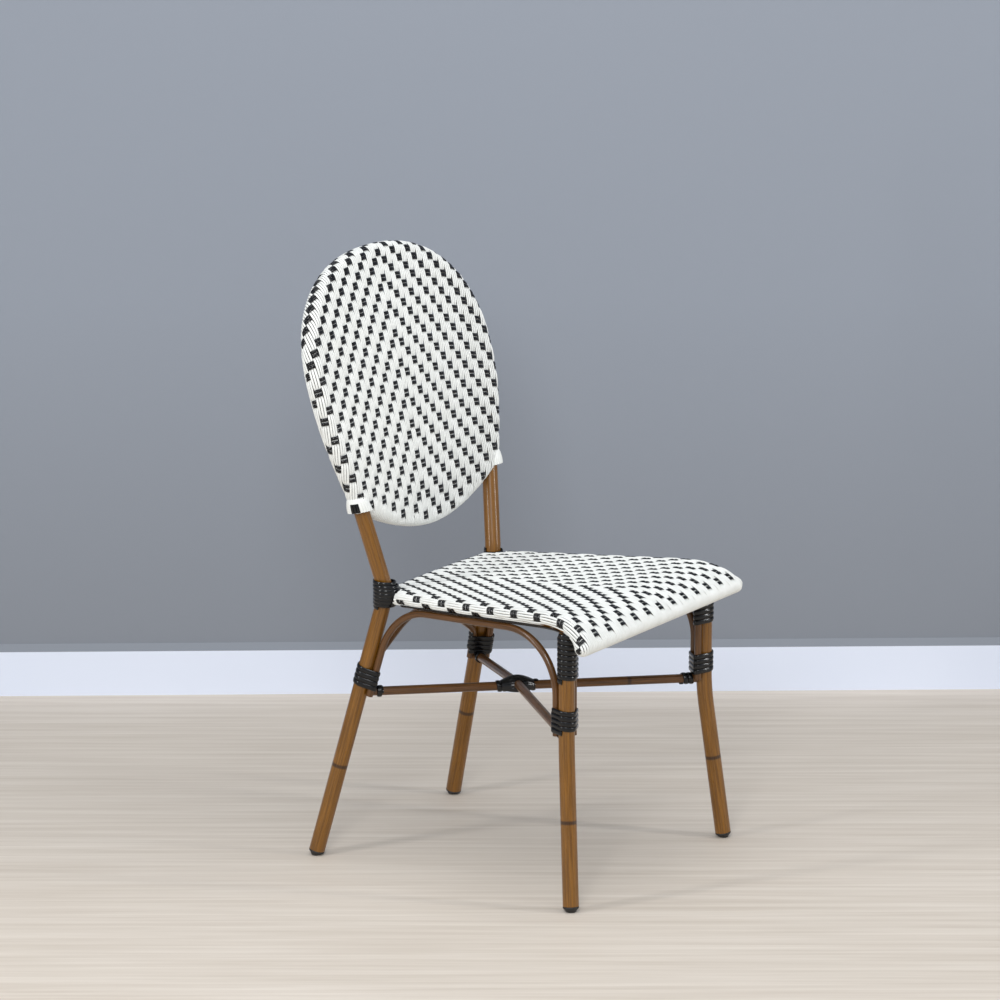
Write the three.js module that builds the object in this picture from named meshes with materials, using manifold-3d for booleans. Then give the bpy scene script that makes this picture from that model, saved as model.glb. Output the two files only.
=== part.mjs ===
// Rattan bistro chair: a frame of thin aluminium tube finished like bamboo, a woven seat and
// an oval woven back, with every joint bound by a coil of flat black strand.
// Millimetres, +Z up. The chair faces -Y, and the sitter's left is +X. The origin is on the
// floor under the middle of the chair.

import * as THREE from 'three';
import { mergeVertices } from 'three/addons/utils/BufferGeometryUtils.js';
import Module from 'manifold-3d';

// Tubes
const legRadius = 12.5;
const legWall = 1.6;
const hoopRadius = 12.5;
const hoopWall = 1.6;
const sideRailRadius = 8;
const crossRailRadius = 9.6;
const backRailRadius = 9;
const railWall = 1.5;
const archRadius = 5.6;
const archWall = 1.2;
const stretcherRadius = 7;
const stretcherWall = 1.3;
const weldGap = 0.3;
const saddleShare = 0.4;
const cutOverrun = 5;

// Front legs: upright down to a soft bend, then splayed to the foot
const frontLegHalfSpan = 205.2;
const frontLegDepth = -222.7;
const frontBendHeight = 252;
const frontBendRadius = 420;
const frontFootHalfSpan = 230.3;
const frontFootDepth = -247.2;

// Rear legs: one tube from the foot to the back, cranked where the seat meets it
const crankHalfSpan = 154;
const crankDepth = 140.3;
const crankHeight = 432.4;
const crankRadius = 60;
const rearFootHalfSpan = 198.3;
const rearFootDepth = 247.2;

// Back hoop, measured up the leaning back from the crank
const backLean = THREE.MathUtils.degToRad(10.97);
const backCurveRadius = 1750;
const tabHalfSpan = 182.9;
const tabRise = 133;
const tabCover = 12;
const hoopHalfWidth = 229.2;
const hoopWidestRise = 330;
const hoopTopRise = 504.6;
const hoopRoundness = 2.3;
const hoopStartSplay = THREE.MathUtils.degToRad(15.5);
const hoopLowerPull = 60;
const hoopUpperPull = 85;
const backRailLowRise = 92;
const backRailEndRise = 150;
const backRailEndHalfSpan = 187;
const backRailCurve = 1.9;

// Seat rails, given where their tubes' centre lines run
const seatRearHalfWidth = 152.4;
const seatRearHeight = 423.4;
const seatKneeHalfWidth = 202.4;
const seatKneeDepth = -177.7;
const seatKneeHeight = 443;
const seatFrontHalfWidth = 220.6;
const seatFrontDepth = -264.6;
const seatFrontHeight = 418.5;
const kneeReachShare = 0.75;
const slopeProbeShare = 0.02;
const frontRailOverhang = 3.5;
const rearRailDepth = 139;
const rearRailBow = 9;

// Weave
const weaveWrap = 2.9;
const sheetThickness = 4.4;
const sheetInset = 0.9;
const backSheetInset = 3.6;
const rimBlendRise = 110;
const seatDish = 4;
const endCover = 2.4;
const tabCollarRadius = 19;
const tabCollarShift = 4;
const tabCollarRise = 24;

// Arches under the seat: the rear one leaves the legs at a shoulder and crosses in a low crown
const archDrop = 0.6;
const archStub = 12;
const sideArchFrontRadius = 92;
const sideArchRearRadius = 90;
const rearShoulderRadius = 30;
const rearShoulderRise = 1;
const rearCrownRadius = 160;
const rearCrownRise = 86;
const frontArchRadius = 16;
const frontArchDrop = 9.5;
const tubeTouch = 0.7;

// Stretchers, a drop below the low bindings: the lower one is straight, and the upper one bows
// up into a notch across it
const lowerRearDrop = 28.5;
const upperRearDrop = 30;
const stretcherFrontDrop = 29.5;
const crossingLift = 5;
const bowReach = 130;

// Black strand and its bindings
const strandWidth = 7.2;
const strandThickness = 1.8;
const strandPitch = 8;
const bindingGap = 0.3;
const frontTopBindingTurns = 6.5;
const frontBindingSpacing = 61;
const lowBindingTurns = 4;
const rearRightLowBindingHeight = 298.5;
const rearLeftLowBindingHeight = 281;
const seatBindingLowTurns = 1;
const seatBindingHighTurns = 2;
const seatBindingBulge = 2.5;
const climbTurns = 0.5;
const stretcherBindingTurns = 2;
const stretcherBindingStart = 28;
const crossingBindingTurns = 2.25;
const crossingBindingReach = 13.4;
const crossingBindingLift = 3.3;
const passTurns = 0.25;

// Foot glides
const glideHeight = 9;
const glideConeHeight = 5;
const glideConeRadius = 10;
const glideNoseRadius = 5;
const glideWear = 2;
const glideCollar = 2.7;
const glidePlugLength = 14;
const glidePlugLead = 3;
const plugClearance = 0.7;
const floorCutWidth = 60;

// Facets
const legSides = 16;
const glideSides = 12;
const boreSides = 10;
const railSides = 10;
const archSides = 8;
const archBoreSides = 6;
const hoopSideSteps = 5;
const crownSteps = 9;
const backRailSteps = 10;
const rearRailSteps = 4;
const waterfallSteps = 5;
const bowSteps = 10;
const turnSteps = 10;
const passSteps = 40;
const railSamples = 40;
const outlineProbes = 720;
const bendStep = THREE.MathUtils.degToRad(14);
const mergeTolerance = 1e-4;

const wasm = await Module();
wasm.setup();

const finish = (name, color, roughness, metalness) =>
  new THREE.MeshStandardMaterial({ name, color, roughness, metalness });

const materials = {
  bamboo: () => finish('bamboo_finish_tube', 0xa0702f, 0.35, 0.4),
  dark: () => finish('dark_bamboo_tube', 0x5e3f22, 0.4, 0.4),
  strand: () => finish('black_strand', 0x17181c, 0.3, 0),
  weave: () => finish('woven_strand', 0xf2f4f2, 0.5, 0),
  glide: () => finish('black_glide', 0x202020, 0.6, 0),
};

const chair = new THREE.Group();
chair.name = 'bistro_chair';

function addPart(name, geometry, material) {
  const mesh = new THREE.Mesh(geometry, material);
  mesh.name = name;
  chair.add(mesh);
  return mesh;
}

// A closed geometry as a solid that can be joined and cut, and back again
function solidOf(geometry) {
  const bare = geometry.clone();
  bare.deleteAttribute('normal');
  bare.deleteAttribute('uv');
  const merged = mergeVertices(bare, mergeTolerance);
  return new wasm.Manifold(new wasm.Mesh({
    numProp: 3,
    vertProperties: Float32Array.from(merged.attributes.position.array),
    triVerts: Uint32Array.from(merged.index.array),
  }));
}

function geometryOf(solid) {
  const mesh = solid.getMesh();
  const geometry = new THREE.BufferGeometry();
  geometry.setAttribute('position', new THREE.BufferAttribute(mesh.vertProperties, 3));
  geometry.setIndex(new THREE.BufferAttribute(mesh.triVerts, 1));
  geometry.computeVertexNormals();
  return geometry;
}

const cutFrom = (geometry, ...tools) =>
  geometryOf(tools.reduce((solid, tool) => solid.subtract(solidOf(tool)), solidOf(geometry)));

// A route is a curve with one station for each ring of the tube that follows it, so straight
// lengths cost one step and bends get the rest.
class Route extends THREE.Curve {
  constructor(points) {
    super();
    this.points = points;
    this.tangents = points.map((point, i) => {
      const before = points[Math.max(i - 1, 0)];
      const after = points[Math.min(i + 1, points.length - 1)];
      if (i === 0 || i === points.length - 1) return after.clone().sub(before).normalize();
      const arriving = point.clone().sub(before).normalize();
      return arriving.add(after.clone().sub(point).normalize()).normalize();
    });
  }

  station(t) {
    return Math.round(t * (this.points.length - 1));
  }

  getPoint(t) {
    return this.points[this.station(t)].clone();
  }

  getPointAt(u) {
    return this.getPoint(u);
  }

  getTangentAt(u) {
    return this.tangents[this.station(u)].clone();
  }
}

// Corners rounded as a tube bender rounds them: an arc of the given radius at each inner corner
function bentPoints(corners, radii) {
  const points = [corners[0].clone()];
  for (let i = 1; i < corners.length - 1; i++) {
    const inward = corners[i - 1].clone().sub(corners[i]).normalize();
    const outward = corners[i + 1].clone().sub(corners[i]).normalize();
    const turn = Math.PI - inward.angleTo(outward);
    const radius = radii[i - 1];
    const reach = radius * Math.tan(turn / 2);
    const start = corners[i].clone().addScaledVector(inward, reach);
    const middle = inward.clone().add(outward).normalize();
    const centre = corners[i].clone().addScaledVector(middle, radius / Math.cos(turn / 2));
    const axis = new THREE.Vector3().crossVectors(inward, outward).normalize().negate();
    const steps = Math.max(2, Math.ceil(turn / bendStep));
    for (let k = 0; k <= steps; k++) {
      const arm = start.clone().sub(centre).applyAxisAngle(axis, turn * k / steps);
      points.push(centre.clone().add(arm));
    }
  }
  points.push(corners.at(-1).clone());
  return points;
}

function disc(radius, sides) {
  const outline = [];
  for (let i = 0; i < sides; i++) {
    const angle = 2 * Math.PI * i / sides;
    outline.push(new THREE.Vector2(radius * Math.cos(angle), radius * Math.sin(angle)));
  }
  return outline;
}

function rod(points, radius, sides) {
  const route = new Route(points);
  return new THREE.ExtrudeGeometry(new THREE.Shape(disc(radius, sides)),
    { steps: points.length - 1, bevelEnabled: false, extrudePath: route });
}

function tube(points, radius, wall, sides, innerSides) {
  const section = new THREE.Shape(disc(radius, sides));
  section.holes.push(new THREE.Path(disc(radius - wall, innerSides)));
  return new THREE.ExtrudeGeometry(section,
    { steps: points.length - 1, bevelEnabled: false, extrudePath: new Route(points) });
}

// The same points carried past both ends, for a cut that goes right through
function overrun(points, startBy, endBy = startBy) {
  const first = points[0].clone().sub(points[1]).normalize();
  const last = points.at(-1).clone().sub(points.at(-2)).normalize();
  const longer = points.map((point) => point.clone());
  longer[0].addScaledVector(first, startBy);
  longer.at(-1).addScaledVector(last, endBy);
  return longer;
}

const mirrorVector = (side, vector) => new THREE.Vector3(side * vector.x, vector.y, vector.z);
const sideways = (side, points) => points.map((point) => mirrorVector(side, point));
const sides = { left: 1, right: -1 };

// Front legs
const frontSplayHeight = frontBendHeight;
const frontLegPoint = (height) => {
  const share = Math.max(0, (frontSplayHeight - height) / frontSplayHeight);
  return new THREE.Vector3(
    frontLegHalfSpan + (frontFootHalfSpan - frontLegHalfSpan) * share,
    frontLegDepth + (frontFootDepth - frontLegDepth) * share,
    height);
};

// Rear legs and the leaning plane of the back, which starts to curve at the splice
const spliceRise = tabRise + tabCover;
const crank = new THREE.Vector3(crankHalfSpan, crankDepth, crankHeight);
const rearFoot = new THREE.Vector3(rearFootHalfSpan, rearFootDepth, 0);
const rearLegPoint = (height) => crank.clone().lerp(rearFoot, (crankHeight - height) / crankHeight);

function backSpot(x, rise, forward = 0) {
  const beyond = Math.max(0, rise - spliceRise);
  const slope = backLean + Math.atan(beyond / backCurveRadius);
  return new THREE.Vector3(
    x,
    crankDepth + rise * Math.sin(backLean) + beyond ** 2 / (2 * backCurveRadius)
      - forward * Math.cos(slope),
    crankHeight + rise * Math.cos(backLean) + forward * Math.sin(slope));
}

const uprightSpan = (rise) => crankHalfSpan + (tabHalfSpan - crankHalfSpan) * rise / tabRise;

// Half of the hoop from the splice to the top, as points (half width, rise)
function hoopHalf() {
  const splice = new THREE.Vector2(uprightSpan(spliceRise), spliceRise);
  const start = new THREE.Vector2(uprightSpan(spliceRise + weldGap), spliceRise + weldGap);
  const widest = new THREE.Vector2(hoopHalfWidth, hoopWidestRise);
  const lower = new THREE.CubicBezierCurve(
    start,
    start.clone().add(new THREE.Vector2(Math.sin(hoopStartSplay), Math.cos(hoopStartSplay))
      .multiplyScalar(hoopLowerPull)),
    widest.clone().sub(new THREE.Vector2(0, hoopUpperPull)),
    widest);
  const points = [splice, ...lower.getPoints(hoopSideSteps)];
  for (let i = 1; i <= crownSteps; i++) {
    const angle = Math.PI / 2 * i / crownSteps;
    const across = Math.max(0, Math.cos(angle)) ** (2 / hoopRoundness);
    const up = Math.sin(angle) ** (2 / hoopRoundness);
    points.push(new THREE.Vector2(
      i === crownSteps ? 0 : hoopHalfWidth * across,
      hoopWidestRise + (hoopTopRise - hoopWidestRise) * up));
  }
  return points;
}

const hoopOutline = hoopHalf();
const hoopPoints = [
  ...hoopOutline.map((p) => backSpot(p.x, p.y)),
  ...hoopOutline.slice(0, -1).reverse().map((p) => backSpot(-p.x, p.y)),
];
const hoopRim = hoopRadius + weaveWrap;
const backRailRim = backRailRadius + weaveWrap;

const backRailRise = (x) => backRailLowRise
  + (backRailEndRise - backRailLowRise) * Math.abs(x / backRailEndHalfSpan) ** backRailCurve;
const backRailPoints = [];
for (let i = 0; i <= backRailSteps; i++) {
  const x = backRailEndHalfSpan * (2 * i / backRailSteps - 1);
  backRailPoints.push(backSpot(x, backRailRise(x)));
}

// Seat rails
const seatRear = new THREE.Vector3(seatRearHalfWidth, crankDepth, seatRearHeight);
const seatKnee = new THREE.Vector3(seatKneeHalfWidth, seatKneeDepth, seatKneeHeight);
const seatFront = new THREE.Vector3(seatFrontHalfWidth, seatFrontDepth, seatFrontHeight);
const seatRun = seatKnee.clone().sub(seatRear).divideScalar(seatRear.y - seatKnee.y);
const kneeReach = (seatKneeDepth - seatFrontDepth) * kneeReachShare;
const waterfall = new THREE.QuadraticBezierCurve3(
  seatKnee, seatKnee.clone().addScaledVector(seatRun, kneeReach), seatFront);
const sideRailPoints = [seatRear, ...waterfall.getPoints(waterfallSteps)];

// A point on a side rail's centre line, share 0 at the rear and 1 at the front rail
const runLength = seatRear.distanceTo(seatKnee);
const railLength = runLength + waterfall.getLength();
function sideRailSpot(share) {
  const length = share * railLength;
  if (length <= runLength) return seatRear.clone().lerp(seatKnee, length / runLength);
  return waterfall.getPointAt(Math.min(1, (length - runLength) / (railLength - runLength)));
}

const frontRailHalf = seatFrontHalfWidth + frontRailOverhang;
const frontRailPoints = [
  new THREE.Vector3(-frontRailHalf, seatFrontDepth, seatFrontHeight),
  new THREE.Vector3(frontRailHalf, seatFrontDepth, seatFrontHeight),
];
const rearRailPoints = [];
for (let i = 0; i <= rearRailSteps; i++) {
  const across = 2 * i / rearRailSteps - 1;
  rearRailPoints.push(new THREE.Vector3(
    crankHalfSpan * across, rearRailDepth + rearRailBow * (1 - across ** 2), seatRearHeight));
}
const sideRim = sideRailRadius + weaveWrap;
const crossRim = crossRailRadius + weaveWrap;

// Rods that the tubes stand on, shaped to meet each other by cutting one with its neighbour
const frontFoot = frontLegPoint(0);
const legDown = frontFoot.clone().sub(frontLegPoint(frontSplayHeight)).normalize();
const rearDown = rearFoot.clone().sub(crank).normalize();
const railOverLeg = waterfall.getPoints(railSamples)
  .reduce((best, p) => (Math.abs(p.y - frontLegDepth) < Math.abs(best.y - frontLegDepth) ? p : best));
const frontLegTop = frontLegPoint(railOverLeg.z - sideRailRadius * saddleShare);
const frontLegPoints = bentPoints(
  [frontLegTop, frontLegPoint(frontSplayHeight), frontFoot.clone().addScaledVector(legDown, -glideHeight)],
  [frontBendRadius]);
const uprightTop = backSpot(uprightSpan(spliceRise), spliceRise);
const rearLegPoints = bentPoints(
  [uprightTop.clone().addScaledVector(uprightTop.clone().sub(crank).normalize(), -weldGap),
    crank, rearFoot.clone().addScaledVector(rearDown, -glideHeight)],
  [crankRadius]);

// A tube's own space with the welding gap, its flats clear of the tube's corners
const grown = (points, radius, sideCount) =>
  rod(points, (radius + weldGap) / Math.cos(Math.PI / sideCount), sideCount);

for (const [name, side] of Object.entries(sides)) {
  const rail = sideways(side, sideRailPoints);
  addPart(`front_leg_${name}`,
    cutFrom(tube(sideways(side, frontLegPoints), legRadius, legWall, legSides, boreSides),
      grown(overrun(rail, cutOverrun), sideRailRadius, railSides)),
    materials.bamboo());
  addPart(`rear_leg_${name}`,
    tube(sideways(side, rearLegPoints), legRadius, legWall, legSides, boreSides),
    materials.bamboo());
}

addPart('back_hoop', tube(hoopPoints, hoopRadius, hoopWall, railSides, archBoreSides),
  materials.bamboo());
const tabPoints = [backSpot(uprightSpan(tabRise), tabRise), ...hoopPoints,
  backSpot(-uprightSpan(tabRise), tabRise)];
const uprights = [1, -1].map((side) => grown(sideways(side, rearLegPoints), legRadius, railSides));
const hoopTool = grown(overrun(tabPoints, tabRise - backRailLowRise), hoopRadius, railSides);
addPart('back_lower_rail',
  cutFrom(tube(backRailPoints, backRailRadius, railWall, archSides, archBoreSides),
    hoopTool),
  materials.bamboo());

const frontRailTool = grown(overrun(frontRailPoints, cutOverrun), crossRailRadius, railSides);
const sideRailTools = [1, -1].map((side) =>
  grown(overrun(sideways(side, sideRailPoints), cutOverrun), sideRailRadius, railSides));
for (const [name, side] of Object.entries(sides)) {
  addPart(`seat_rail_${name}`,
    cutFrom(tube(sideways(side, sideRailPoints), sideRailRadius, railWall, railSides, archBoreSides),
      frontRailTool, ...uprights),
    materials.bamboo());
}
addPart('seat_rail_front',
  tube(frontRailPoints, crossRailRadius, railWall, railSides, boreSides), materials.bamboo());
addPart('seat_rail_rear',
  cutFrom(tube(rearRailPoints, sideRailRadius, railWall, railSides, archBoreSides),
    ...sideRailTools, ...uprights),
  materials.bamboo());

// Arches: two legs that lie against the frame's legs, and a run under the seat
const beside = legRadius + archRadius + tubeTouch;
const acrossFrom = (direction, along) =>
  direction.clone().addScaledVector(along, -direction.dot(along)).normalize();
const rearForward = acrossFrom(new THREE.Vector3(0, -1, 0), rearDown);
const rearInward = new THREE.Vector3().crossVectors(rearForward, rearDown).normalize();
if (rearInward.x > 0) rearInward.negate();

const lowBindingHalf = strandPitch * lowBindingTurns / 2;
const frontArchHeight = railOverLeg.z - frontArchDrop;
const frontTopBindingFoot = frontArchHeight - frontArchRadius - bindingGap - strandWidth
  - frontTopBindingTurns * strandPitch;
const frontLowBindingHeight = frontTopBindingFoot - frontBindingSpacing;
const rearLowHeights = { left: rearLeftLowBindingHeight, right: rearRightLowBindingHeight };
const archFootFront = frontLowBindingHeight - lowBindingHalf - archStub;
const archFootRear = (name) => rearLowHeights[name] - lowBindingHalf - archStub;
const runDrop = sideRim + archRadius + archDrop;

// Places up a front leg from the arches' feet, through the leg's bend, set off to one side
function upFrontLeg(offset) {
  const bend = frontLegPoints.slice(1, -1).reverse().filter((p) => p.z > archFootFront);
  return [centreAt(frontLegPoints, archFootFront), ...bend].map((p) => p.clone().add(offset));
}

function sideArch(name) {
  const rearStart = rearLegPoint(archFootRear(name)).addScaledVector(rearForward, beside);
  const frontLeg = upFrontLeg(new THREE.Vector3(0, beside, 0));
  const frontStart = frontLeg.pop();
  const under = (y) => {
    const share = (seatRear.y - y) / (seatRear.y - seatKnee.y);
    const spot = seatRear.clone().lerp(seatKnee, share);
    return spot.setZ(spot.z - runDrop);
  };
  const rise = rearDown.clone().negate();
  const reach = (under(rearStart.y).z - rearStart.z) / rise.z;
  const rearCorner = under(rearStart.y + rise.y * reach);
  const frontCorner = under(frontStart.y);
  return sideways(sides[name], [...bentPoints(
    [rearStart, rearCorner, frontCorner, frontStart], [sideArchRearRadius, sideArchFrontRadius]),
    ...frontLeg.reverse()]);
}

function rearArchPoints() {
  const along = (height) => rearLegPoint(height).addScaledVector(rearInward, beside);
  const shoulderHeight = (name) =>
    rearLowHeights[name] + lowBindingHalf + strandWidth / 2 + rearShoulderRise;
  const leg = (name) => sideways(sides[name], [along(archFootRear(name)), along(shoulderHeight(name))]);
  const [left, right] = [leg('left'), leg('right')];
  const crown = left[1].clone().add(right[1]).divideScalar(2);
  crown.z += rearCrownRise;
  return bentPoints([...left, crown, ...right.reverse()],
    [rearShoulderRadius, rearCrownRadius, rearShoulderRadius]);
}

function frontArchPoints() {
  const leg = upFrontLeg(new THREE.Vector3(-beside, 0, 0));
  const start = leg.pop();
  const corner = start.clone().setZ(frontArchHeight);
  return [...leg,
    ...bentPoints([start, corner, ...sideways(sides.right, [corner, start])],
      [frontArchRadius, frontArchRadius]),
    ...sideways(sides.right, leg.reverse())];
}

const archPoints = {
  side_arch_left: sideArch('left'),
  side_arch_right: sideArch('right'),
  front_arch: frontArchPoints(),
  rear_arch: rearArchPoints(),
};
for (const [name, points] of Object.entries(archPoints)) {
  addPart(name, tube(points, archRadius, archWall, archSides, archBoreSides), materials.dark());
}

// Stretchers
function stretcherEnds(rearHeight, frontHeight, rearSide) {
  const rear = rearLegPoint(rearHeight);
  const front = centreAt(frontLegPoints, frontHeight);
  return [mirrorVector(rearSide, rear), mirrorVector(-rearSide, front)];
}
const stretcherFrontHeight = frontLowBindingHeight - stretcherFrontDrop;
const upperEnds =
  stretcherEnds(rearLeftLowBindingHeight - upperRearDrop, stretcherFrontHeight, sides.left);
const lowerEnds =
  stretcherEnds(rearRightLowBindingHeight - lowerRearDrop, stretcherFrontHeight, sides.right);
const crossingShare = lowerEnds[0].x / (lowerEnds[0].x - lowerEnds[1].x);
const crossing = lowerEnds[0].clone().lerp(lowerEnds[1], crossingShare);
const upperLine = upperEnds[1].clone().sub(upperEnds[0]);
const bowHeight = crossing.z + crossingLift - upperEnds[0].z - upperLine.z * crossingShare;
const upperPoints = [upperEnds[0]];
for (let i = 0; i <= bowSteps; i++) {
  const across = 2 * i / bowSteps - 1;
  const along = crossingShare + bowReach * across / upperLine.length();
  const spot = upperEnds[0].clone().addScaledVector(upperLine, along);
  spot.z += bowHeight * (1 + Math.cos(Math.PI * across)) / 2;
  upperPoints.push(spot);
}
upperPoints.push(upperEnds[1]);
const legTools = [1, -1].flatMap((side) => [
  grown(sideways(side, frontLegPoints), legRadius, legSides),
  grown(sideways(side, rearLegPoints), legRadius, legSides),
]);
const stretcher = (points, ...tools) =>
  cutFrom(tube(points, stretcherRadius, stretcherWall, railSides, archBoreSides), ...tools);
addPart('stretcher_upper', stretcher(upperPoints, ...legTools), materials.dark());
addPart('stretcher_lower',
  stretcher(lowerEnds, grown(upperPoints, stretcherRadius, railSides), ...legTools),
  materials.dark());

// Foot glides: a plug in the tube's open end, a collar and a low cone, worn flat on the floor
function glide(foot, down) {
  const plugRadius = legRadius - legWall - plugClearance;
  const profile = [
    [0, -glideHeight - glideWear],
    [glideNoseRadius, -glideHeight - glideWear],
    [glideNoseRadius + glideWear, -glideHeight],
    [glideConeRadius, -glideConeHeight],
    [legRadius, -glideCollar],
    [legRadius, -weldGap],
    [plugRadius, -weldGap],
    [plugRadius, glidePlugLength - glidePlugLead],
    [plugRadius - glidePlugLead / 2, glidePlugLength],
    [0, glidePlugLength],
  ];
  const body = new THREE.LatheGeometry(profile.map(([r, z]) => new THREE.Vector2(r, z)), glideSides);
  const up = down.clone().negate();
  body.applyQuaternion(new THREE.Quaternion().setFromUnitVectors(new THREE.Vector3(0, 1, 0), up));
  const end = foot.clone().addScaledVector(down, -glideHeight);
  body.translate(end.x, end.y, end.z);
  const floorCut = new THREE.BoxGeometry(floorCutWidth, floorCutWidth, floorCutWidth);
  floorCut.translate(foot.x, foot.y, -floorCutWidth / 2);
  return cutFrom(body, floorCut);
}

for (const [name, side] of Object.entries(sides)) {
  for (const [end, foot, down] of [['front', frontFoot, legDown], ['rear', rearFoot, rearDown]]) {
    addPart(`foot_glide_${end}_${name}`,
      glide(mirrorVector(side, foot), mirrorVector(side, down)), materials.glide());
  }
}

// Woven back: a sleeve of strand round the hoop and the lower rail, thicker where it ends round
// each upright, and the sheet between them
function hoopHeightAt(x) {
  const side = hoopOutline.slice(0, hoopSideSteps + 2);
  for (let i = 1; i < side.length; i++) {
    if (side[i].x >= x) {
      const share = (x - side[i - 1].x) / (side[i].x - side[i - 1].x);
      return side[i - 1].y + (side[i].y - side[i - 1].y) * share;
    }
  }
  return hoopWidestRise;
}
const crownHeightAt = (x) => hoopWidestRise + (hoopTopRise - hoopWidestRise)
  * Math.max(0, 1 - (x / hoopHalfWidth) ** hoopRoundness) ** (1 / hoopRoundness);
const lowHeightAt = (x) =>
  (x < hoopOutline[0].x ? Math.min(backRailRise(x), hoopOutline[0].y) : hoopHeightAt(x));

function bentSlab(columns, rows, place) {
  const slab = new THREE.BoxGeometry(1, 1, 1, columns, rows, 1);
  const position = slab.attributes.position;
  for (let i = 0; i < position.count; i++) {
    const spot = place(2 * position.getX(i), position.getY(i) + 0.5, position.getZ(i) + 0.5);
    position.setXYZ(i, spot.x, spot.y, spot.z);
  }
  return slab;
}

const backSheetHalf = hoopHalfWidth - backSheetInset;
const backSheet = bentSlab(10, 8, (across, up, front) => {
  const x = backSheetHalf * Math.sin(across * Math.PI / 2);
  const low = lowHeightAt(Math.abs(x));
  const rise = low + (crownHeightAt(Math.abs(x)) - low) * up;
  const blend = THREE.MathUtils.smoothstep(rise, backRailLowRise, backRailLowRise + rimBlendRise);
  const rim = THREE.MathUtils.lerp(backRailRim, hoopRim, blend) - sheetInset;
  return backSpot(x, rise, rim - sheetThickness * (1 - front));
});

const joined = (...geometries) =>
  geometries.map(solidOf).reduce((whole, piece) => whole.add(piece));
const hollowed = (solid, ...tools) =>
  geometryOf(tools.reduce((whole, tool) => whole.subtract(solidOf(tool)), solid));

const tabCollars = [1, -1].map((side) =>
  sideways(side, [tabRise, tabRise + tabCollarRise].map((rise) =>
    backSpot(uprightSpan(rise) + tabCollarShift, rise))));
addPart('back_rim_weave',
  hollowed(
    joined(rod(tabPoints, hoopRim, railSides), rod(backRailPoints, backRailRim, archSides),
      ...tabCollars.map((points) => rod(points, tabCollarRadius, railSides))),
    hoopTool, grown(backRailPoints, backRailRadius, archSides)),
  materials.weave());
addPart('back_weave',
  cutFrom(backSheet,
    grown(overrun(tabPoints, cutOverrun), hoopRim, railSides),
    grown(overrun(backRailPoints, cutOverrun), backRailRim, archSides),
    ...tabCollars.map((points) => grown(overrun(points, weldGap), tabCollarRadius, railSides))),
  materials.weave());

// Woven seat: sleeves round the four rails and the sheet between them
const bindingReach = legRadius + seatBindingBulge + bindingGap + strandThickness + weldGap;
const seatSheet = bentSlab(6, 10, (across, along, top) => {
  const share = 1 - along;
  const edge = sideRailSpot(share);
  const before = sideRailSpot(Math.max(0, share - slopeProbeShare));
  const after = sideRailSpot(Math.min(1, share + slopeProbeShare));
  const run = after.sub(before).setX(0).normalize();
  const up = new THREE.Vector3(0, run.z, -run.y);
  const bow = along === 1 ? rearRailDepth - crankDepth + rearRailBow * (1 - across ** 2) : 0;
  const spot = new THREE.Vector3(edge.x * across, edge.y + bow, edge.z);
  const dish = seatDish * (1 - across ** 2) * Math.sin(Math.PI * along);
  return spot.addScaledVector(up, sideRim - sheetInset - sheetThickness * (1 - top) - dish);
});
const sideSleeves = [1, -1].map((side) => rod(sideways(side, sideRailPoints), sideRim, railSides));
const frontSleeve = rod(overrun(frontRailPoints, endCover), crossRim, railSides);
const rearSleeve = rod(rearRailPoints, sideRim, railSides);
const bindingRoom = [1, -1].map((side) =>
  grown(sideways(side, rearLegPoints), bindingReach, legSides));
const frontLegTools = [1, -1].map((side) =>
  grown(sideways(side, frontLegPoints), legRadius, legSides));
addPart('seat_rim_weave',
  hollowed(
    joined(...sideSleeves, frontSleeve),
    ...sideRailTools, grown(frontRailPoints, crossRailRadius, railSides), ...bindingRoom,
    ...frontLegTools),
  materials.weave());
addPart('seat_weave',
  hollowed(
    joined(rearSleeve, seatSheet),
    ...[1, -1].map((side) => grown(overrun(sideways(side, sideRailPoints), cutOverrun),
      sideRim, railSides)),
    grown(overrun(frontRailPoints, cutOverrun), crossRim, railSides),
    grown(rearRailPoints, sideRailRadius, railSides), ...bindingRoom, ...frontLegTools),
  materials.weave());

// Bindings: one flat strand wound round a bundle of tubes. The strand's path is the bundle's
// outline, taken from the circles of its tubes, and climbs one pitch with each turn.
const strandShares = [[-1, -1], [1, -1], [0.72, 0.3], [0, 1], [-0.72, 0.3]];
const strandSection = strandShares.map(([across, out]) =>
  new THREE.Vector2(across * strandWidth / 2, out * strandThickness / 2));

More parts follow.
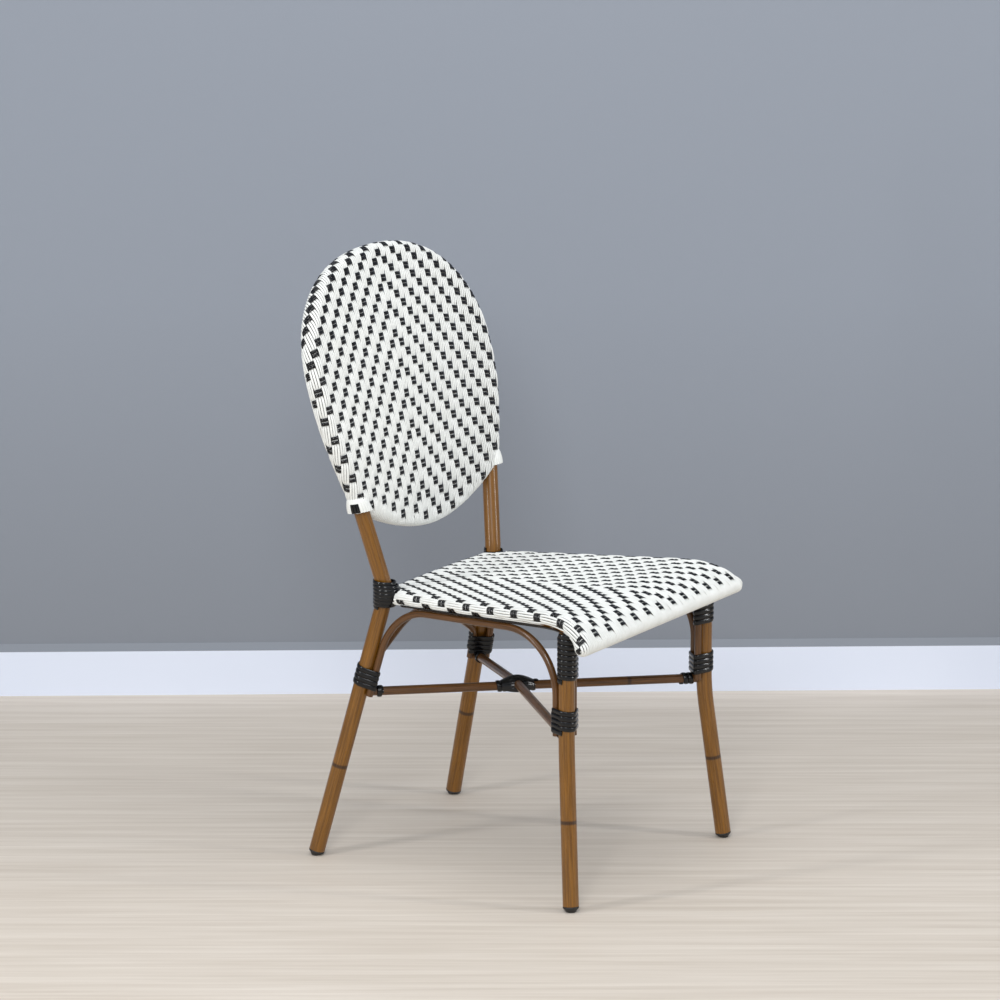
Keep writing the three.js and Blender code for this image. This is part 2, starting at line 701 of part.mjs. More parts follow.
// Supporting circle of the bundle in each direction, as arcs that join by straight tangents. The
// steps of each arc may be given, so that all the turns of one binding have the same.
function bundleTurn(circles, clear, given) {
  const holder = (angle) => {
    const u = new THREE.Vector2(Math.cos(angle), Math.sin(angle));
    let best = 0;
    circles.forEach((circle, i) => {
      if (circle.at.dot(u) + circle.radius > circles[best].at.dot(u) + circles[best].radius) best = i;
    });
    return best;
  };
  const arcs = [];
  for (let i = 0; i < outlineProbes; i++) {
    const angle = 2 * Math.PI * i / outlineProbes;
    const index = holder(angle);
    if (!arcs.length || arcs.at(-1).index !== index) arcs.push({ index, from: angle, to: angle });
    else arcs.at(-1).to = angle;
  }
  if (arcs.length > 1 && arcs.at(-1).index === arcs[0].index) {
    arcs[0].from = arcs.pop().from - 2 * Math.PI;
  }
  const points = [];
  const full = arcs.length === 1;
  const spans = arcs.map((arc) => (full ? 2 * Math.PI : arc.to - arc.from));
  const counts = given
    ?? spans.map((span) => Math.max(1, Math.round(turnSteps * span / (2 * Math.PI))));
  arcs.forEach((arc, n) => {
    const span = spans[n];
    const steps = counts[n];
    const circle = circles[arc.index];
    const reach = (circle.radius + clear) / Math.cos(span / steps / 2);
    for (let k = 0; k <= steps - (full ? 1 : 0); k++) {
      const angle = arc.from + span * k / steps;
      const out = new THREE.Vector2(Math.cos(angle), Math.sin(angle));
      points.push({ at: circle.at.clone().addScaledVector(out, reach), out });
    }
  });
  return { points, counts };
}

function sweepStrand(path) {
  const count = strandSection.length;
  const positions = [];
  const faces = [];
  path.forEach(({ at, out }, i) => {
    const before = path[Math.max(i - 1, 0)].at;
    const after = path[Math.min(i + 1, path.length - 1)].at;
    const along = after.clone().sub(before).normalize();
    const outward = out.clone().addScaledVector(along, -out.dot(along)).normalize();
    const across = new THREE.Vector3().crossVectors(along, outward);
    for (const corner of strandSection) {
      const spot = at.clone().addScaledVector(across, corner.x).addScaledVector(outward, corner.y);
      positions.push(spot.x, spot.y, spot.z);
    }
    if (i === 0) return;
    for (let k = 0; k < count; k++) {
      const a = (i - 1) * count + k;
      const b = (i - 1) * count + (k + 1) % count;
      faces.push(a, a + count, b, b, a + count, b + count);
    }
  });
  const last = (path.length - 1) * count;
  for (let k = 1; k < count - 1; k++) {
    faces.push(0, k, k + 1, last, last + k + 1, last + k);
  }
  const geometry = new THREE.BufferGeometry();
  geometry.setAttribute('position', new THREE.Float32BufferAttribute(positions, 3));
  geometry.setIndex(faces);
  geometry.computeVertexNormals();
  return geometry;
}

// Least distance between points of the strand that are at least half a turn apart
function leastGap(geometry, apart) {
  const position = geometry.attributes.position;
  const count = strandSection.length;
  const p = new THREE.Vector3();
  const q = new THREE.Vector3();
  let least = Infinity;
  for (let i = 0; i < position.count; i++) {
    p.fromBufferAttribute(position, i);
    for (let k = i + apart * count; k < position.count; k++) {
      q.fromBufferAttribute(position, k);
      least = Math.min(least, p.distanceTo(q));
    }
  }
  return least;
}

// A strand's path as a binding: it is measured, reported and added as one piece
function addBinding(name, path, stepsPerTurn) {
  const geometry = sweepStrand(path);
  const gap = leastGap(geometry, Math.ceil(stepsPerTurn / 2));
  console.log(`${name}: least gap of the strand to itself ${gap.toFixed(2)} mm`);
  addPart(name, geometry, materials.strand());
}

// Turns round a bundle of tubes, climbing one pitch a turn along the axis
function bundlePath({ origin, axis, first, rods, from, turns }) {
  const second = new THREE.Vector3().crossVectors(axis, first);
  const clear = bindingGap + strandThickness / 2;
  const lowest = bundleTurn(rods(from), clear);
  const steps = lowest.points.length;
  const path = [];
  for (let i = 0; i <= Math.round(turns * steps); i++) {
    const climb = from + strandPitch * i / steps;
    const { at, out } = bundleTurn(rods(climb), clear, lowest.counts).points[i % steps];
    path.push({
      at: origin.clone().addScaledVector(axis, climb)
        .addScaledVector(first, at.x).addScaledVector(second, at.y),
      out: first.clone().multiplyScalar(out.x).addScaledVector(second, out.y),
    });
  }
  return { path, steps };
}

// Turns round one tube, at the turns given, where climb and circle say how far along the axis
// the strand has come and which circle it follows there
function coilPath({ origin, axis, first, turns, climb, circle }) {
  const second = new THREE.Vector3().crossVectors(axis, first);
  const corner = 1 / Math.cos(Math.PI / turnSteps);
  return turns.map((turn) => {
    const along = climb(turn);
    const { at, radius } = circle(along);
    const out = new THREE.Vector2(Math.cos(2 * Math.PI * turn), Math.sin(2 * Math.PI * turn));
    const spot = at.clone().addScaledVector(out, (radius + bindingGap + strandThickness / 2) * corner);
    return {
      at: origin.clone().addScaledVector(axis, along)
        .addScaledVector(first, spot.x).addScaledVector(second, spot.y),
      out: first.clone().multiplyScalar(out.x).addScaledVector(second, out.y),
    };
  });
}

function turnsBetween(from, to, stepsPerTurn) {
  const count = Math.round((to - from) * stepsPerTurn);
  return Array.from({ length: count + 1 }, (_, i) => from + (to - from) * i / count);
}

// Where a tube's centre line stands at a height
function centreAt(points, height) {
  for (let i = 1; i < points.length; i++) {
    const [a, b] = [points[i - 1], points[i]];
    if ((a.z - height) * (b.z - height) <= 0) return a.clone().lerp(b, (height - a.z) / (b.z - a.z));
  }
  return points.at(-1).clone();
}

// Where a line of points first passes a plane across an axis, and how far it slants there
function planeSpot(points, origin, axis, along) {
  const above = (point) => point.clone().sub(origin).dot(axis) - along;
  const next = points.findIndex((point, i) => i > 0 && above(point) >= 0);
  const [a, b] = [points[next - 1], points[next]];
  return {
    spot: a.clone().lerp(b, above(a) / (above(a) - above(b))),
    slant: b.clone().sub(a).normalize().dot(axis),
  };
}

const mirroredPath = (side, path) =>
  path.map(({ at, out }) => ({ at: mirrorVector(side, at), out: mirrorVector(side, out) }));
const circleAt = (radius, x = 0, y = 0) => ({ at: new THREE.Vector2(x, y), radius });
const zAxis = new THREE.Vector3(0, 0, 1);
const xAxis = new THREE.Vector3(1, 0, 0);

const frontOrigin = new THREE.Vector3(frontLegHalfSpan, frontLegDepth, 0);
const frontBundle = (height, ...arches) => {
  const centre = centreAt(frontLegPoints, height).sub(frontOrigin);
  return [circleAt(legRadius, centre.x, centre.y),
    ...arches.map(([x, y]) => circleAt(archRadius, centre.x + x, centre.y + y))];
};
const frontTop = bundlePath({
  origin: frontOrigin, axis: zAxis, first: xAxis,
  rods: (height) => frontBundle(height, [-beside, 0]),
  from: frontTopBindingFoot + strandWidth / 2,
  turns: frontTopBindingTurns,
});
const frontLow = bundlePath({
  origin: frontOrigin, axis: zAxis, first: xAxis,
  rods: (height) => frontBundle(height, [-beside, 0], [0, beside]),
  from: frontLowBindingHeight - lowBindingHalf,
  turns: lowBindingTurns,
});
const rearRise = rearDown.clone().negate();
const forwardSign = Math.sign(new THREE.Vector3().crossVectors(rearRise, rearInward).dot(rearForward));
const rearLow = (name) => {
  const origin = rearLegPoint(rearLowHeights[name]);
  const arch = sideways(sides[name], archPoints.rear_arch);
  if (name === 'right') arch.reverse();
  const second = new THREE.Vector3().crossVectors(rearRise, rearInward);
  const archCircle = (climb) => {
    const { spot, slant } = planeSpot(arch, origin, rearRise, climb + strandWidth / 2);
    const away = spot.sub(origin);
    return circleAt(archRadius / slant, away.dot(rearInward), away.dot(second));
  };
  return bundlePath({
    origin, axis: rearRise, first: rearInward,
    rods: (climb) => [circleAt(legRadius), archCircle(climb),
      circleAt(archRadius, 0, forwardSign * beside)],
    from: -lowBindingHalf,
    turns: lowBindingTurns,
  });
};

// Where the seat's rails meet the rear leg the coil splits: the strand winds below the rails,
// climbs past them on the outside of the leg and winds on above them
const railRoom = sideRailRadius + strandWidth / 2 + bindingGap;
const seatBindingLow = -railRoom - seatBindingLowTurns * strandPitch;
const seatBindingHigh = railRoom;
const outerStart = new THREE.Vector3(0, -1, 0);
const seatBindingPath = coilPath({
  origin: new THREE.Vector3(0, 0, seatRearHeight),
  axis: zAxis,
  first: outerStart,
  turns: turnsBetween(0, seatBindingLowTurns + climbTurns + seatBindingHighTurns, turnSteps),
  climb: (turn) => {
    if (turn <= seatBindingLowTurns) return seatBindingLow + turn * strandPitch;
    const since = turn - seatBindingLowTurns;
    if (since >= climbTurns) return seatBindingHigh + (since - climbTurns) * strandPitch;
    return THREE.MathUtils.lerp(-railRoom, seatBindingHigh, since / climbTurns);
  },
  circle: (along) => {
    const centre = centreAt(rearLegPoints, seatRearHeight + along);
    return circleAt(legRadius + seatBindingBulge, -centre.y, centre.x);
  },
});

for (const [name, side] of Object.entries(sides)) {
  addBinding(`front_leg_binding_${name}`, mirroredPath(side, frontTop.path), frontTop.steps);
  addBinding(`low_binding_front_${name}`, mirroredPath(side, frontLow.path), frontLow.steps);
  const rear = rearLow(name);
  addBinding(`low_binding_rear_${name}`, mirroredPath(side, rear.path), rear.steps);
  addBinding(`seat_binding_${name}`, mirroredPath(side, seatBindingPath), turnSteps);
}

// Ends of the stretchers
const stretcherStarts = {
  rear_left: [upperPoints[0], upperPoints[1]],
  front_right: [upperPoints.at(-1), upperPoints.at(-2)],
  rear_right: [lowerEnds[0], lowerEnds[1]],
  front_left: [lowerEnds[1], lowerEnds[0]],
};
for (const [name, [from, to]] of Object.entries(stretcherStarts)) {
  const axis = to.clone().sub(from).normalize();
  const path = coilPath({
    origin: from,
    axis,
    first: acrossFrom(zAxis, axis),
    turns: turnsBetween(0, stretcherBindingTurns, turnSteps),
    climb: (turn) => stretcherBindingStart + turn * strandPitch,
    circle: () => circleAt(stretcherRadius),
  });
  addBinding(`stretcher_binding_${name}`, path, turnSteps);
}

// The crossing: turns on both sides of the notch, joined by a pass over the upper stretcher
const lowerAxis = lowerEnds[1].clone().sub(lowerEnds[0]).normalize();
const halfPass = passTurns / 2;
const crossingPath = coilPath({
  origin: crossing,
  axis: lowerAxis,
  first: acrossFrom(zAxis, lowerAxis),
  turns: [
    ...turnsBetween(-crossingBindingTurns - halfPass, -halfPass, turnSteps),
    ...turnsBetween(-halfPass, halfPass, passSteps).slice(1, -1),
    ...turnsBetween(halfPass, crossingBindingTurns + halfPass, turnSteps),
  ],
  climb: (turn) => {
    const beyond = Math.abs(turn) - halfPass;
    if (beyond <= 0) return crossingBindingReach * turn / halfPass;
    return Math.sign(turn) * (crossingBindingReach + beyond * strandPitch);
  },
  circle: (along) => {
    const away = Math.min(1, Math.abs(along) / crossingBindingReach);
    const lift = (crossingLift + crossingBindingLift) * Math.cos(Math.PI / 2 * away);
    return circleAt(stretcherRadius, lift);
  },
});
addBinding('stretcher_crossing_binding', crossingPath, turnSteps);

// The origin lies under the middle of the chair's depth
const bounds = new THREE.Box3().setFromObject(chair);
chair.position.y = -(bounds.min.y + bounds.max.y) / 2;

export default chair;
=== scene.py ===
"""Looks of a woven bistro chair: lacquered tube, black and white strand, and the studio."""

import math

import bmesh
import bpy
import numpy as np
from bpy.props import FloatProperty, FloatVectorProperty, IntProperty, PointerProperty
from mathutils import Matrix, Vector


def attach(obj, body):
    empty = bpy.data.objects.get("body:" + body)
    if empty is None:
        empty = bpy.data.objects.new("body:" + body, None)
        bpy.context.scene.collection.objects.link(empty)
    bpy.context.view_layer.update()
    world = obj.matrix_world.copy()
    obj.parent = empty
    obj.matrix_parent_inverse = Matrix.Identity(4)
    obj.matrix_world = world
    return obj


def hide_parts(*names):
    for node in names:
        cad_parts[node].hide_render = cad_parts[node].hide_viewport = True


bl_info = {
    "name": "Woven bistro chair",
    "version": (1, 0, 0),
    "blender": (4, 5, 0),
    "location": "3D View > Sidebar > Chair",
    "description": "Dresses the chair's frame in lacquer, strand and weave",
    "category": "Object",
}

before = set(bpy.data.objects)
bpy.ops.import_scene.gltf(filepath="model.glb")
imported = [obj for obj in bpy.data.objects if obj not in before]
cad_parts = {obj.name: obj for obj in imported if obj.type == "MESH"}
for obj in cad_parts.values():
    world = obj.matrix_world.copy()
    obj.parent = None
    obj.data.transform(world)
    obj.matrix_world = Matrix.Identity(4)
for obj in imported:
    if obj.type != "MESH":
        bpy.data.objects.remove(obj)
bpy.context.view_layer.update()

# Measures in millimetres in the frame of the drawing, whose y ROW_SHIFT takes to the row frame
MM = 0.001
ROW_SHIFT = -5.890045

LEG_RADIUS = 12.5
ARCH_RADIUS = 5.6
STRETCHER_RADIUS = 7.0
# From the centre line of a leg to that of an arch beside it
BESIDE = 18.8

# Corners of the centre lines on the left side, and the radii of the bends
FRONT_LEG = ((205.2, -222.7, 437.8), (205.2, -222.7, 252.0), (229.41, -246.33, 8.91))
FRONT_LEG_BEND = 420.0
REAR_LEG = ((185.44, 167.84, 574.46), (154.0, 140.3, 432.4), (197.41, 245.05, 8.69))
REAR_LEG_BEND = 60.0
FRONT_FOOT = (230.3, -247.2, 0.0)
REAR_FOOT = (198.3, 247.2, 0.0)

ARCH_FOOT_FRONT = 267.0
ARCH_FOOT_REAR = {"left": 253.0, "right": 270.5}
FRONT_ARCH_TOP = 431.5
FRONT_ARCH_BEND = 16.0
SIDE_ARCH_DROP = 17.1
SIDE_ARCH_BENDS = (90.0, 92.0)
REAR_ARCH_CROWN = 86.0
REAR_ARCH_BENDS = (30.0, 160.0, 30.0)
REAR_ARCH_SHOULDER = 20.6
# Heights on the rear legs at the middle of their low bindings
REAR_LOW = {"left": 281.0, "right": 298.5}

UPPER_ENDS = ((172.58, 185.15, 251.0), (-205.59, -223.08, 265.51))
LOWER_ENDS = ((-170.64, 180.45, 270.0), (205.59, -223.08, 265.51))
CROSSING = (0.0, -2.57, 267.96)
CROSSING_SHARE = 0.4536
BOW_HEIGHT = 15.4
BOW_RADIUS = 240.0

# The seat's left side rail from the rear leg over the knee to the front, and the seat's rims
SEAT_REAR = np.array((152.4, 140.3, 423.4))
SEAT_KNEE = np.array((202.4, -177.7, 443.0))
SEAT_FRONT = np.array((220.6, -264.6, 418.5))
KNEE_REACH_SHARE = 0.75
SIDE_RIM = 10.9
FRONT_RIM = 12.5
FRONT_TIP = 5.9
REAR_RAIL_BOW = 9.0
REAR_RAIL_START = -1.3
SEAT_DISH = 4.0
KNEE_POINTS, SEAT_SIDE_POINTS, REAR_RAIL_POINTS = 200, 60, 31

# The back, whose points are given across it and up it from the crank of the rear legs
BACK_LEAN = math.radians(10.97)
BACK_CURVE = 1750.0
SPLICE_RISE = 145.0
CRANK_SPAN = 154.0
UPRIGHT_SPLAY = 28.9 / 133.0
HOOP_HALF = 229.2
HOOP_WIDEST = 330.0
HOOP_TOP = 504.6
HOOP_ROUND = 2.3
HOOP_START = math.radians(15.5)
HOOP_PULLS = (60.0, 85.0)
# The lower rail's lowest rise, the rise of its ends, half its span and the power of its curve
LOW_RAIL = (92.0, 150.0, 187.0, 1.9)
LOW_RAIL_INSET = 3.0
SIDE_POINTS, CROWN_POINTS, RAIL_POINTS = 60, 90, 121
HOOP_RIM = 15.4
LOW_RIM = 11.9
RIM_GROWS = (92.0, 160.0)

# Key of the black strand, and the name under which its material is kept
BLACK = "strand"


def linear(code):
    """An sRGB hex colour as linear red, green, blue and alpha."""
    parts = [int(code[i:i + 2], 16) / 255 for i in (1, 3, 5)]
    return tuple(c / 12.92 if c <= 0.04045 else ((c + 0.055) / 1.055) ** 2.4
                 for c in parts) + (1.0,)


# What a user would change
class ChairSettings(bpy.types.PropertyGroup):
    column_strands: IntProperty(
        name="White strands a column", description="White strands side by side in one column",
        default=3, min=1, max=5)
    row_strands: IntProperty(
        name="Black strands a row", description="Black strands side by side in one row",
        default=2, min=1, max=4)
    white_width: FloatProperty(
        name="White strand width", description="Width of a white strand",
        default=4.0 * MM, unit="LENGTH", precision=4)
    black_width: FloatProperty(
        name="Black strand width", description="Width of a black strand in the weave",
        default=6.1 * MM, unit="LENGTH", precision=4)
    weave_thickness: FloatProperty(
        name="Strand thickness", description="Thickness of a woven strand",
        default=1.9 * MM, unit="LENGTH", precision=4)
    weave_lift: FloatProperty(
        name="Weave lift", description="How far a strand rises over the one that it crosses",
        default=1.25 * MM, unit="LENGTH", precision=4)
    binding_width: FloatProperty(
        name="Binding strand width", description="Width of the strand round the joints",
        default=7.7 * MM, unit="LENGTH", precision=4)
    binding_thickness: FloatProperty(
        name="Binding strand thickness", description="Thickness of the strand round the joints",
        default=2.6 * MM, unit="LENGTH", precision=4)
    tube_sides: IntProperty(
        name="Tube sides", description="Sides of a lacquered tube's section",
        default=40, min=8, max=96)
    bamboo_light: FloatVectorProperty(
        name="Light lacquer", description="Light streaks of the legs' lacquer",
        subtype="COLOR", size=4, min=0, max=1, default=linear("#84581A"))
    bamboo_dark: FloatVectorProperty(
        name="Dark lacquer", description="Dark streaks of the legs' lacquer",
        subtype="COLOR", size=4, min=0, max=1, default=linear("#654110"))
    walnut_light: FloatVectorProperty(
        name="Light brown lacquer", description="Light streaks of the arches' lacquer",
        subtype="COLOR", size=4, min=0, max=1, default=linear("#6C4620"))
    walnut_dark: FloatVectorProperty(
        name="Dark brown lacquer", description="Dark streaks of the arches' lacquer",
        subtype="COLOR", size=4, min=0, max=1, default=linear("#3E270F"))
    white_colour: FloatVectorProperty(
        name="White strand", description="Colour of the white strand",
        subtype="COLOR", size=4, min=0, max=1, default=linear("#EDEFEC"))
    black_colour: FloatVectorProperty(
        name="Black strand", description="Colour of the black strand",
        subtype="COLOR", size=4, min=0, max=1, default=linear("#07080B"))
    floor_colour: FloatVectorProperty(
        name="Floor", description="Colour of the floor",
        subtype="COLOR", size=4, min=0, max=1, default=linear("#DDD4C8"))
    wall_colour: FloatVectorProperty(
        name="Backdrop", description="Colour behind the floor",
        subtype="COLOR", size=4, min=0, max=1, default=linear("#8B929D"))


# Trees of nodes
def feed(tree, node, inputs):
    """Sets or links the inputs of a node. A node as a value stands for its first live output."""
    for key, value in inputs.items():
        if isinstance(value, bpy.types.Node):
            value = next(socket for socket in value.outputs if socket.enabled)
        if isinstance(value, bpy.types.NodeSocket):
            tree.links.new(value, node.inputs[key])
        else:
            node.inputs[key].default_value = value


def add(tree, kind, inputs=None, **settings):
    """One node in a tree, with its own settings, and its inputs set or linked."""
    made = tree.nodes.new(kind)
    for key, value in settings.items():
        setattr(made, key, value)
    feed(tree, made, inputs or {})
    return made


def new_tree(name, sockets):
    """A geometry tree with its named inputs, and its input and output nodes."""
    tree = bpy.data.node_groups.new(name, "GeometryNodeTree")
    for socket_name, kind in sockets:
        tree.interface.new_socket(socket_name, in_out="INPUT", socket_type="NodeSocket" + kind)
    tree.interface.new_socket("Geometry", in_out="OUTPUT", socket_type="NodeSocketGeometry")
    return tree, tree.nodes.new("NodeGroupInput").outputs, tree.nodes.new("NodeGroupOutput")


def section_tree():
    """A strand or a tube: an oval section swept along each route, flat against what it lies on."""
    tree, given, output = new_tree("Section along route", [
        ("Routes", "Geometry"), ("Width", "Float"), ("Thickness", "Float"),
        ("Sides", "Int"), ("Material", "Material")])
    curve = add(tree, "GeometryNodeMeshToCurve", {"Mesh": given["Routes"]})
    outward = add(tree, "GeometryNodeInputNamedAttribute", {
        "Name": "out"}, data_type="FLOAT_VECTOR")
    turned = add(tree, "GeometryNodeSetCurveNormal", {
        "Curve": curve, "Normal": outward}, mode="FREE")
    circle = add(tree, "GeometryNodeCurvePrimitiveCircle", {
        "Resolution": given["Sides"], "Radius": 1.0})
    place = add(tree, "GeometryNodeInputPosition")
    marked = add(tree, "GeometryNodeStoreNamedAttribute", {
        "Geometry": circle, "Name": "round", "Value": place}, data_type="FLOAT_VECTOR",
        domain="POINT")
    half_width = add(tree, "ShaderNodeMath", {0: given["Width"], 1: 0.5}, operation="MULTIPLY")
    half_thick = add(tree, "ShaderNodeMath", {0: given["Thickness"], 1: 0.5}, operation="MULTIPLY")
    size = add(tree, "ShaderNodeCombineXYZ", {"X": half_thick, "Y": half_width, "Z": 1.0})
    section = add(tree, "GeometryNodeTransform", {"Geometry": marked, "Scale": size})
    swept = add(tree, "GeometryNodeCurveToMesh", {
        "Curve": turned, "Profile Curve": section, "Fill Caps": True})
    smooth = add(tree, "GeometryNodeSetShadeSmooth", {"Geometry": swept, "Shade Smooth": True})
    real = add(tree, "GeometryNodeRealizeInstances", {"Geometry": smooth})
    dressed = add(tree, "GeometryNodeSetMaterial", {
        "Geometry": real, "Material": given["Material"]})
    feed(tree, output, {"Geometry": dressed})
    return tree


def weave_tree(section):
    """Strands in bundles over a carrier surface whose lattice counts columns and rows.

    A black cell shows where row - slope * |column| is a multiple of CELLS_A_BLACK.
    """
    tree, given, output = new_tree("Woven strands", [
        ("Geometry", "Geometry"), ("Carrier", "Object"), ("Bundles", "Int"), ("Bundle size", "Int"),
        ("First bundle", "Float"), ("Strand spacing", "Float"), ("Steps", "Int"),
        ("First step", "Float"), ("Step", "Float"), ("Crosswise", "Float"), ("Slope", "Float"),
        ("Lift", "Float"), ("Width", "Float"), ("Thickness", "Float"), ("Sides", "Int"),
        ("Material", "Material")])
    carrier = add(tree, "GeometryNodeObjectInfo", {
        "Object": given["Carrier"]}, transform_space="ORIGINAL")
    count = add(tree, "ShaderNodeMath", {
        0: given["Bundles"], 1: given["Bundle size"]}, operation="MULTIPLY")
    line = add(tree, "GeometryNodeMeshLine", {"Count": given["Steps"]})
    starts = add(tree, "GeometryNodeMeshLine", {"Count": count})
    copies = add(tree, "GeometryNodeInstanceOnPoints", {"Points": starts, "Instance": line})
    strands = add(tree, "GeometryNodeRealizeInstances", {"Geometry": copies})

    # index -> bundle, place in the bundle and step along the strand
    index = add(tree, "GeometryNodeInputIndex")
    step = add(tree, "ShaderNodeMath", {0: index, 1: given["Steps"]}, operation="MODULO")
    whole = add(tree, "ShaderNodeMath", {0: index, 1: given["Steps"]}, operation="DIVIDE")
    strand = add(tree, "ShaderNodeMath", {0: whole}, operation="FLOOR")
    within = add(tree, "ShaderNodeMath", {0: strand, 1: given["Bundle size"]}, operation="MODULO")
    share = add(tree, "ShaderNodeMath", {0: strand, 1: given["Bundle size"]}, operation="DIVIDE")
    bundle = add(tree, "ShaderNodeMath", {0: share}, operation="FLOOR")
    middle = add(tree, "ShaderNodeMath", {
        0: given["Bundle size"], 1: -0.5, 2: 0.5}, operation="MULTIPLY_ADD")
    aside = add(tree, "ShaderNodeMath", {0: within, 1: middle}, operation="ADD")
    at_bundle = add(tree, "ShaderNodeMath", {0: bundle, 1: given["First bundle"]}, operation="ADD")
    beside = add(tree, "ShaderNodeMath", {
        0: aside, 1: given["Strand spacing"], 2: at_bundle}, operation="MULTIPLY_ADD")
    along = add(tree, "ShaderNodeMath", {
        0: step, 1: given["Step"], 2: given["First step"]}, operation="MULTIPLY_ADD")

    # a white strand runs down a column, and a black one along a row
    column = add(tree, "ShaderNodeMix", {
        "Factor": given["Crosswise"], "A": beside, "B": along}, data_type="FLOAT")
    row = add(tree, "ShaderNodeMix", {
        "Factor": given["Crosswise"], "A": along, "B": beside}, data_type="FLOAT")
    centre_column = add(tree, "ShaderNodeMix", {
        "Factor": given["Crosswise"], "A": at_bundle, "B": along}, data_type="FLOAT")
    centre_row = add(tree, "ShaderNodeMix", {
        "Factor": given["Crosswise"], "A": along, "B": at_bundle}, data_type="FLOAT")
    outside = add(tree, "ShaderNodeMath", {0: centre_column}, operation="ABSOLUTE")
    slant = add(tree, "ShaderNodeMath", {0: outside, 1: given["Slope"]}, operation="MULTIPLY")
    phase = add(tree, "ShaderNodeMath", {0: centre_row, 1: slant}, operation="SUBTRACT")
    turn = add(tree, "ShaderNodeMath", {0: phase, 1: CELLS_A_BLACK}, operation="FLOORED_MODULO")
    back = add(tree, "ShaderNodeMath", {0: CELLS_A_BLACK, 1: turn}, operation="SUBTRACT")
    far = add(tree, "ShaderNodeMath", {0: turn, 1: back}, operation="MINIMUM")
    # strands change sides at a share of a cell from the middle of the black one
    rise = add(tree, "ShaderNodeMapRange", {
        "Value": far, "From Min": SIDES_CHANGE[0], "From Max": SIDES_CHANGE[1], "To Min": -1.0,
        "To Max": 1.0}, interpolation_type="SMOOTHSTEP")
    spot = add(tree, "ShaderNodeCombineXYZ", {"X": column, "Y": row, "Z": rise})
    kept = add(tree, "GeometryNodeStoreNamedAttribute", {
        "Geometry": strands, "Name": "spot", "Value": spot}, data_type="FLOAT_VECTOR",
        domain="POINT")

    # the same place on the carrier, whose lattice is scaled into the unit square
    here = add(tree, "GeometryNodeInputNamedAttribute", {"Name": "spot"}, data_type="FLOAT_VECTOR")
    small = add(tree, "ShaderNodeVectorMath", {0: here, "Scale": LATTICE_SHARE}, operation="SCALE")
    lattice = add(tree, "GeometryNodeInputNamedAttribute", {
        "Name": "lattice"}, data_type="FLOAT_VECTOR")
    place = add(tree, "GeometryNodeInputPosition")
    normal, plain, wide = (
        add(tree, "GeometryNodeInputNamedAttribute", {"Name": name}, data_type=kind)
        for name, kind in (("face_out", "FLOAT_VECTOR"), ("plain", "FLOAT"), ("swell", "FLOAT")))
    surface, facing, bare, swell = (
        add(tree, "GeometryNodeSampleUVSurface", {
            "Mesh": carrier.outputs["Geometry"], "Value": value, "UV Map": lattice,
            "Sample UV": small}, data_type=kind)
        for value, kind in ((place, "FLOAT_VECTOR"), (normal, "FLOAT_VECTOR"), (plain, "FLOAT"),
                            (wide, "FLOAT")))
    missing = add(tree, "FunctionNodeBooleanMath", {
        0: surface.outputs["Is Valid"]}, operation="NOT")
    trimmed = add(tree, "GeometryNodeDeleteGeometry", {
        "Geometry": kept, "Selection": missing}, domain="POINT")
    parts = add(tree, "ShaderNodeSeparateXYZ", {"Vector": here})
    stays = add(tree, "ShaderNodeMath", {0: bare, 1: 2.0, 2: -1.0}, operation="MULTIPLY_ADD")
    white_side = add(tree, "ShaderNodeMath", {0: parts.outputs["Z"], 1: stays}, operation="MAXIMUM")
    flip = add(tree, "ShaderNodeMath", {
        0: given["Crosswise"], 1: -2.0, 2: 1.0}, operation="MULTIPLY_ADD")
    side = add(tree, "ShaderNodeMath", {0: white_side, 1: flip}, operation="MULTIPLY")
    height = add(tree, "ShaderNodeMath", {0: side, 1: given["Lift"]}, operation="MULTIPLY")
    lift = add(tree, "ShaderNodeVectorMath", {0: facing, "Scale": height}, operation="SCALE")
    raised = add(tree, "ShaderNodeVectorMath", {0: surface, 1: lift}, operation="ADD")
    outward = add(tree, "GeometryNodeStoreNamedAttribute", {
        "Geometry": trimmed, "Name": "out", "Value": facing}, data_type="FLOAT_VECTOR",
        domain="POINT")
    thick = add(tree, "ShaderNodeMix", {
        "Factor": given["Crosswise"], "A": swell, "B": 1.0}, data_type="FLOAT")
    sized = add(tree, "GeometryNodeStoreNamedAttribute", {
        "Geometry": outward, "Name": "radius", "Value": thick}, data_type="FLOAT", domain="POINT")
    laid = add(tree, "GeometryNodeSetPosition", {"Geometry": sized, "Position": raised})
    swept = add(tree, "GeometryNodeGroup", {
        "Routes": laid, "Width": given["Width"], "Thickness": given["Thickness"],
        "Sides": given["Sides"], "Material": given["Material"]}, node_tree=section)
    real = add(tree, "GeometryNodeRealizeInstances", {"Geometry": swept})
    dressed = add(tree, "GeometryNodeSetMaterial", {
        "Geometry": real, "Material": given["Material"]})
    feed(tree, output, {"Geometry": dressed})
    return tree


def grown(name, mesh, tree, values):
    """A plain mesh object: what a geometry tree makes of a mesh with the values given by name."""
    source = bpy.data.objects.new(name, mesh)
    bpy.context.scene.collection.objects.link(source)
    modifier = source.modifiers.new(tree.name, "NODES")
    modifier.node_group = tree
    for item in tree.interface.items_tree:
        if item.in_out == "INPUT" and item.name in values:
            modifier[item.identifier] = values[item.name]
    bpy.context.view_layer.update()
    depsgraph = bpy.context.evaluated_depsgraph_get()
    made = bpy.data.meshes.new_from_object(source.evaluated_get(depsgraph))
    source.modifiers.clear()
    source.data = made
    made.name = name
    if not made.polygons:
        raise RuntimeError(f"{name} came out empty")
    return source


# Routes and surfaces
def metres(point):
    """A point of the drawing, in millimetres, as a point of the row frame."""
    x, y, z = point
    return (x * MM, (y + ROW_SHIFT) * MM, z * MM)


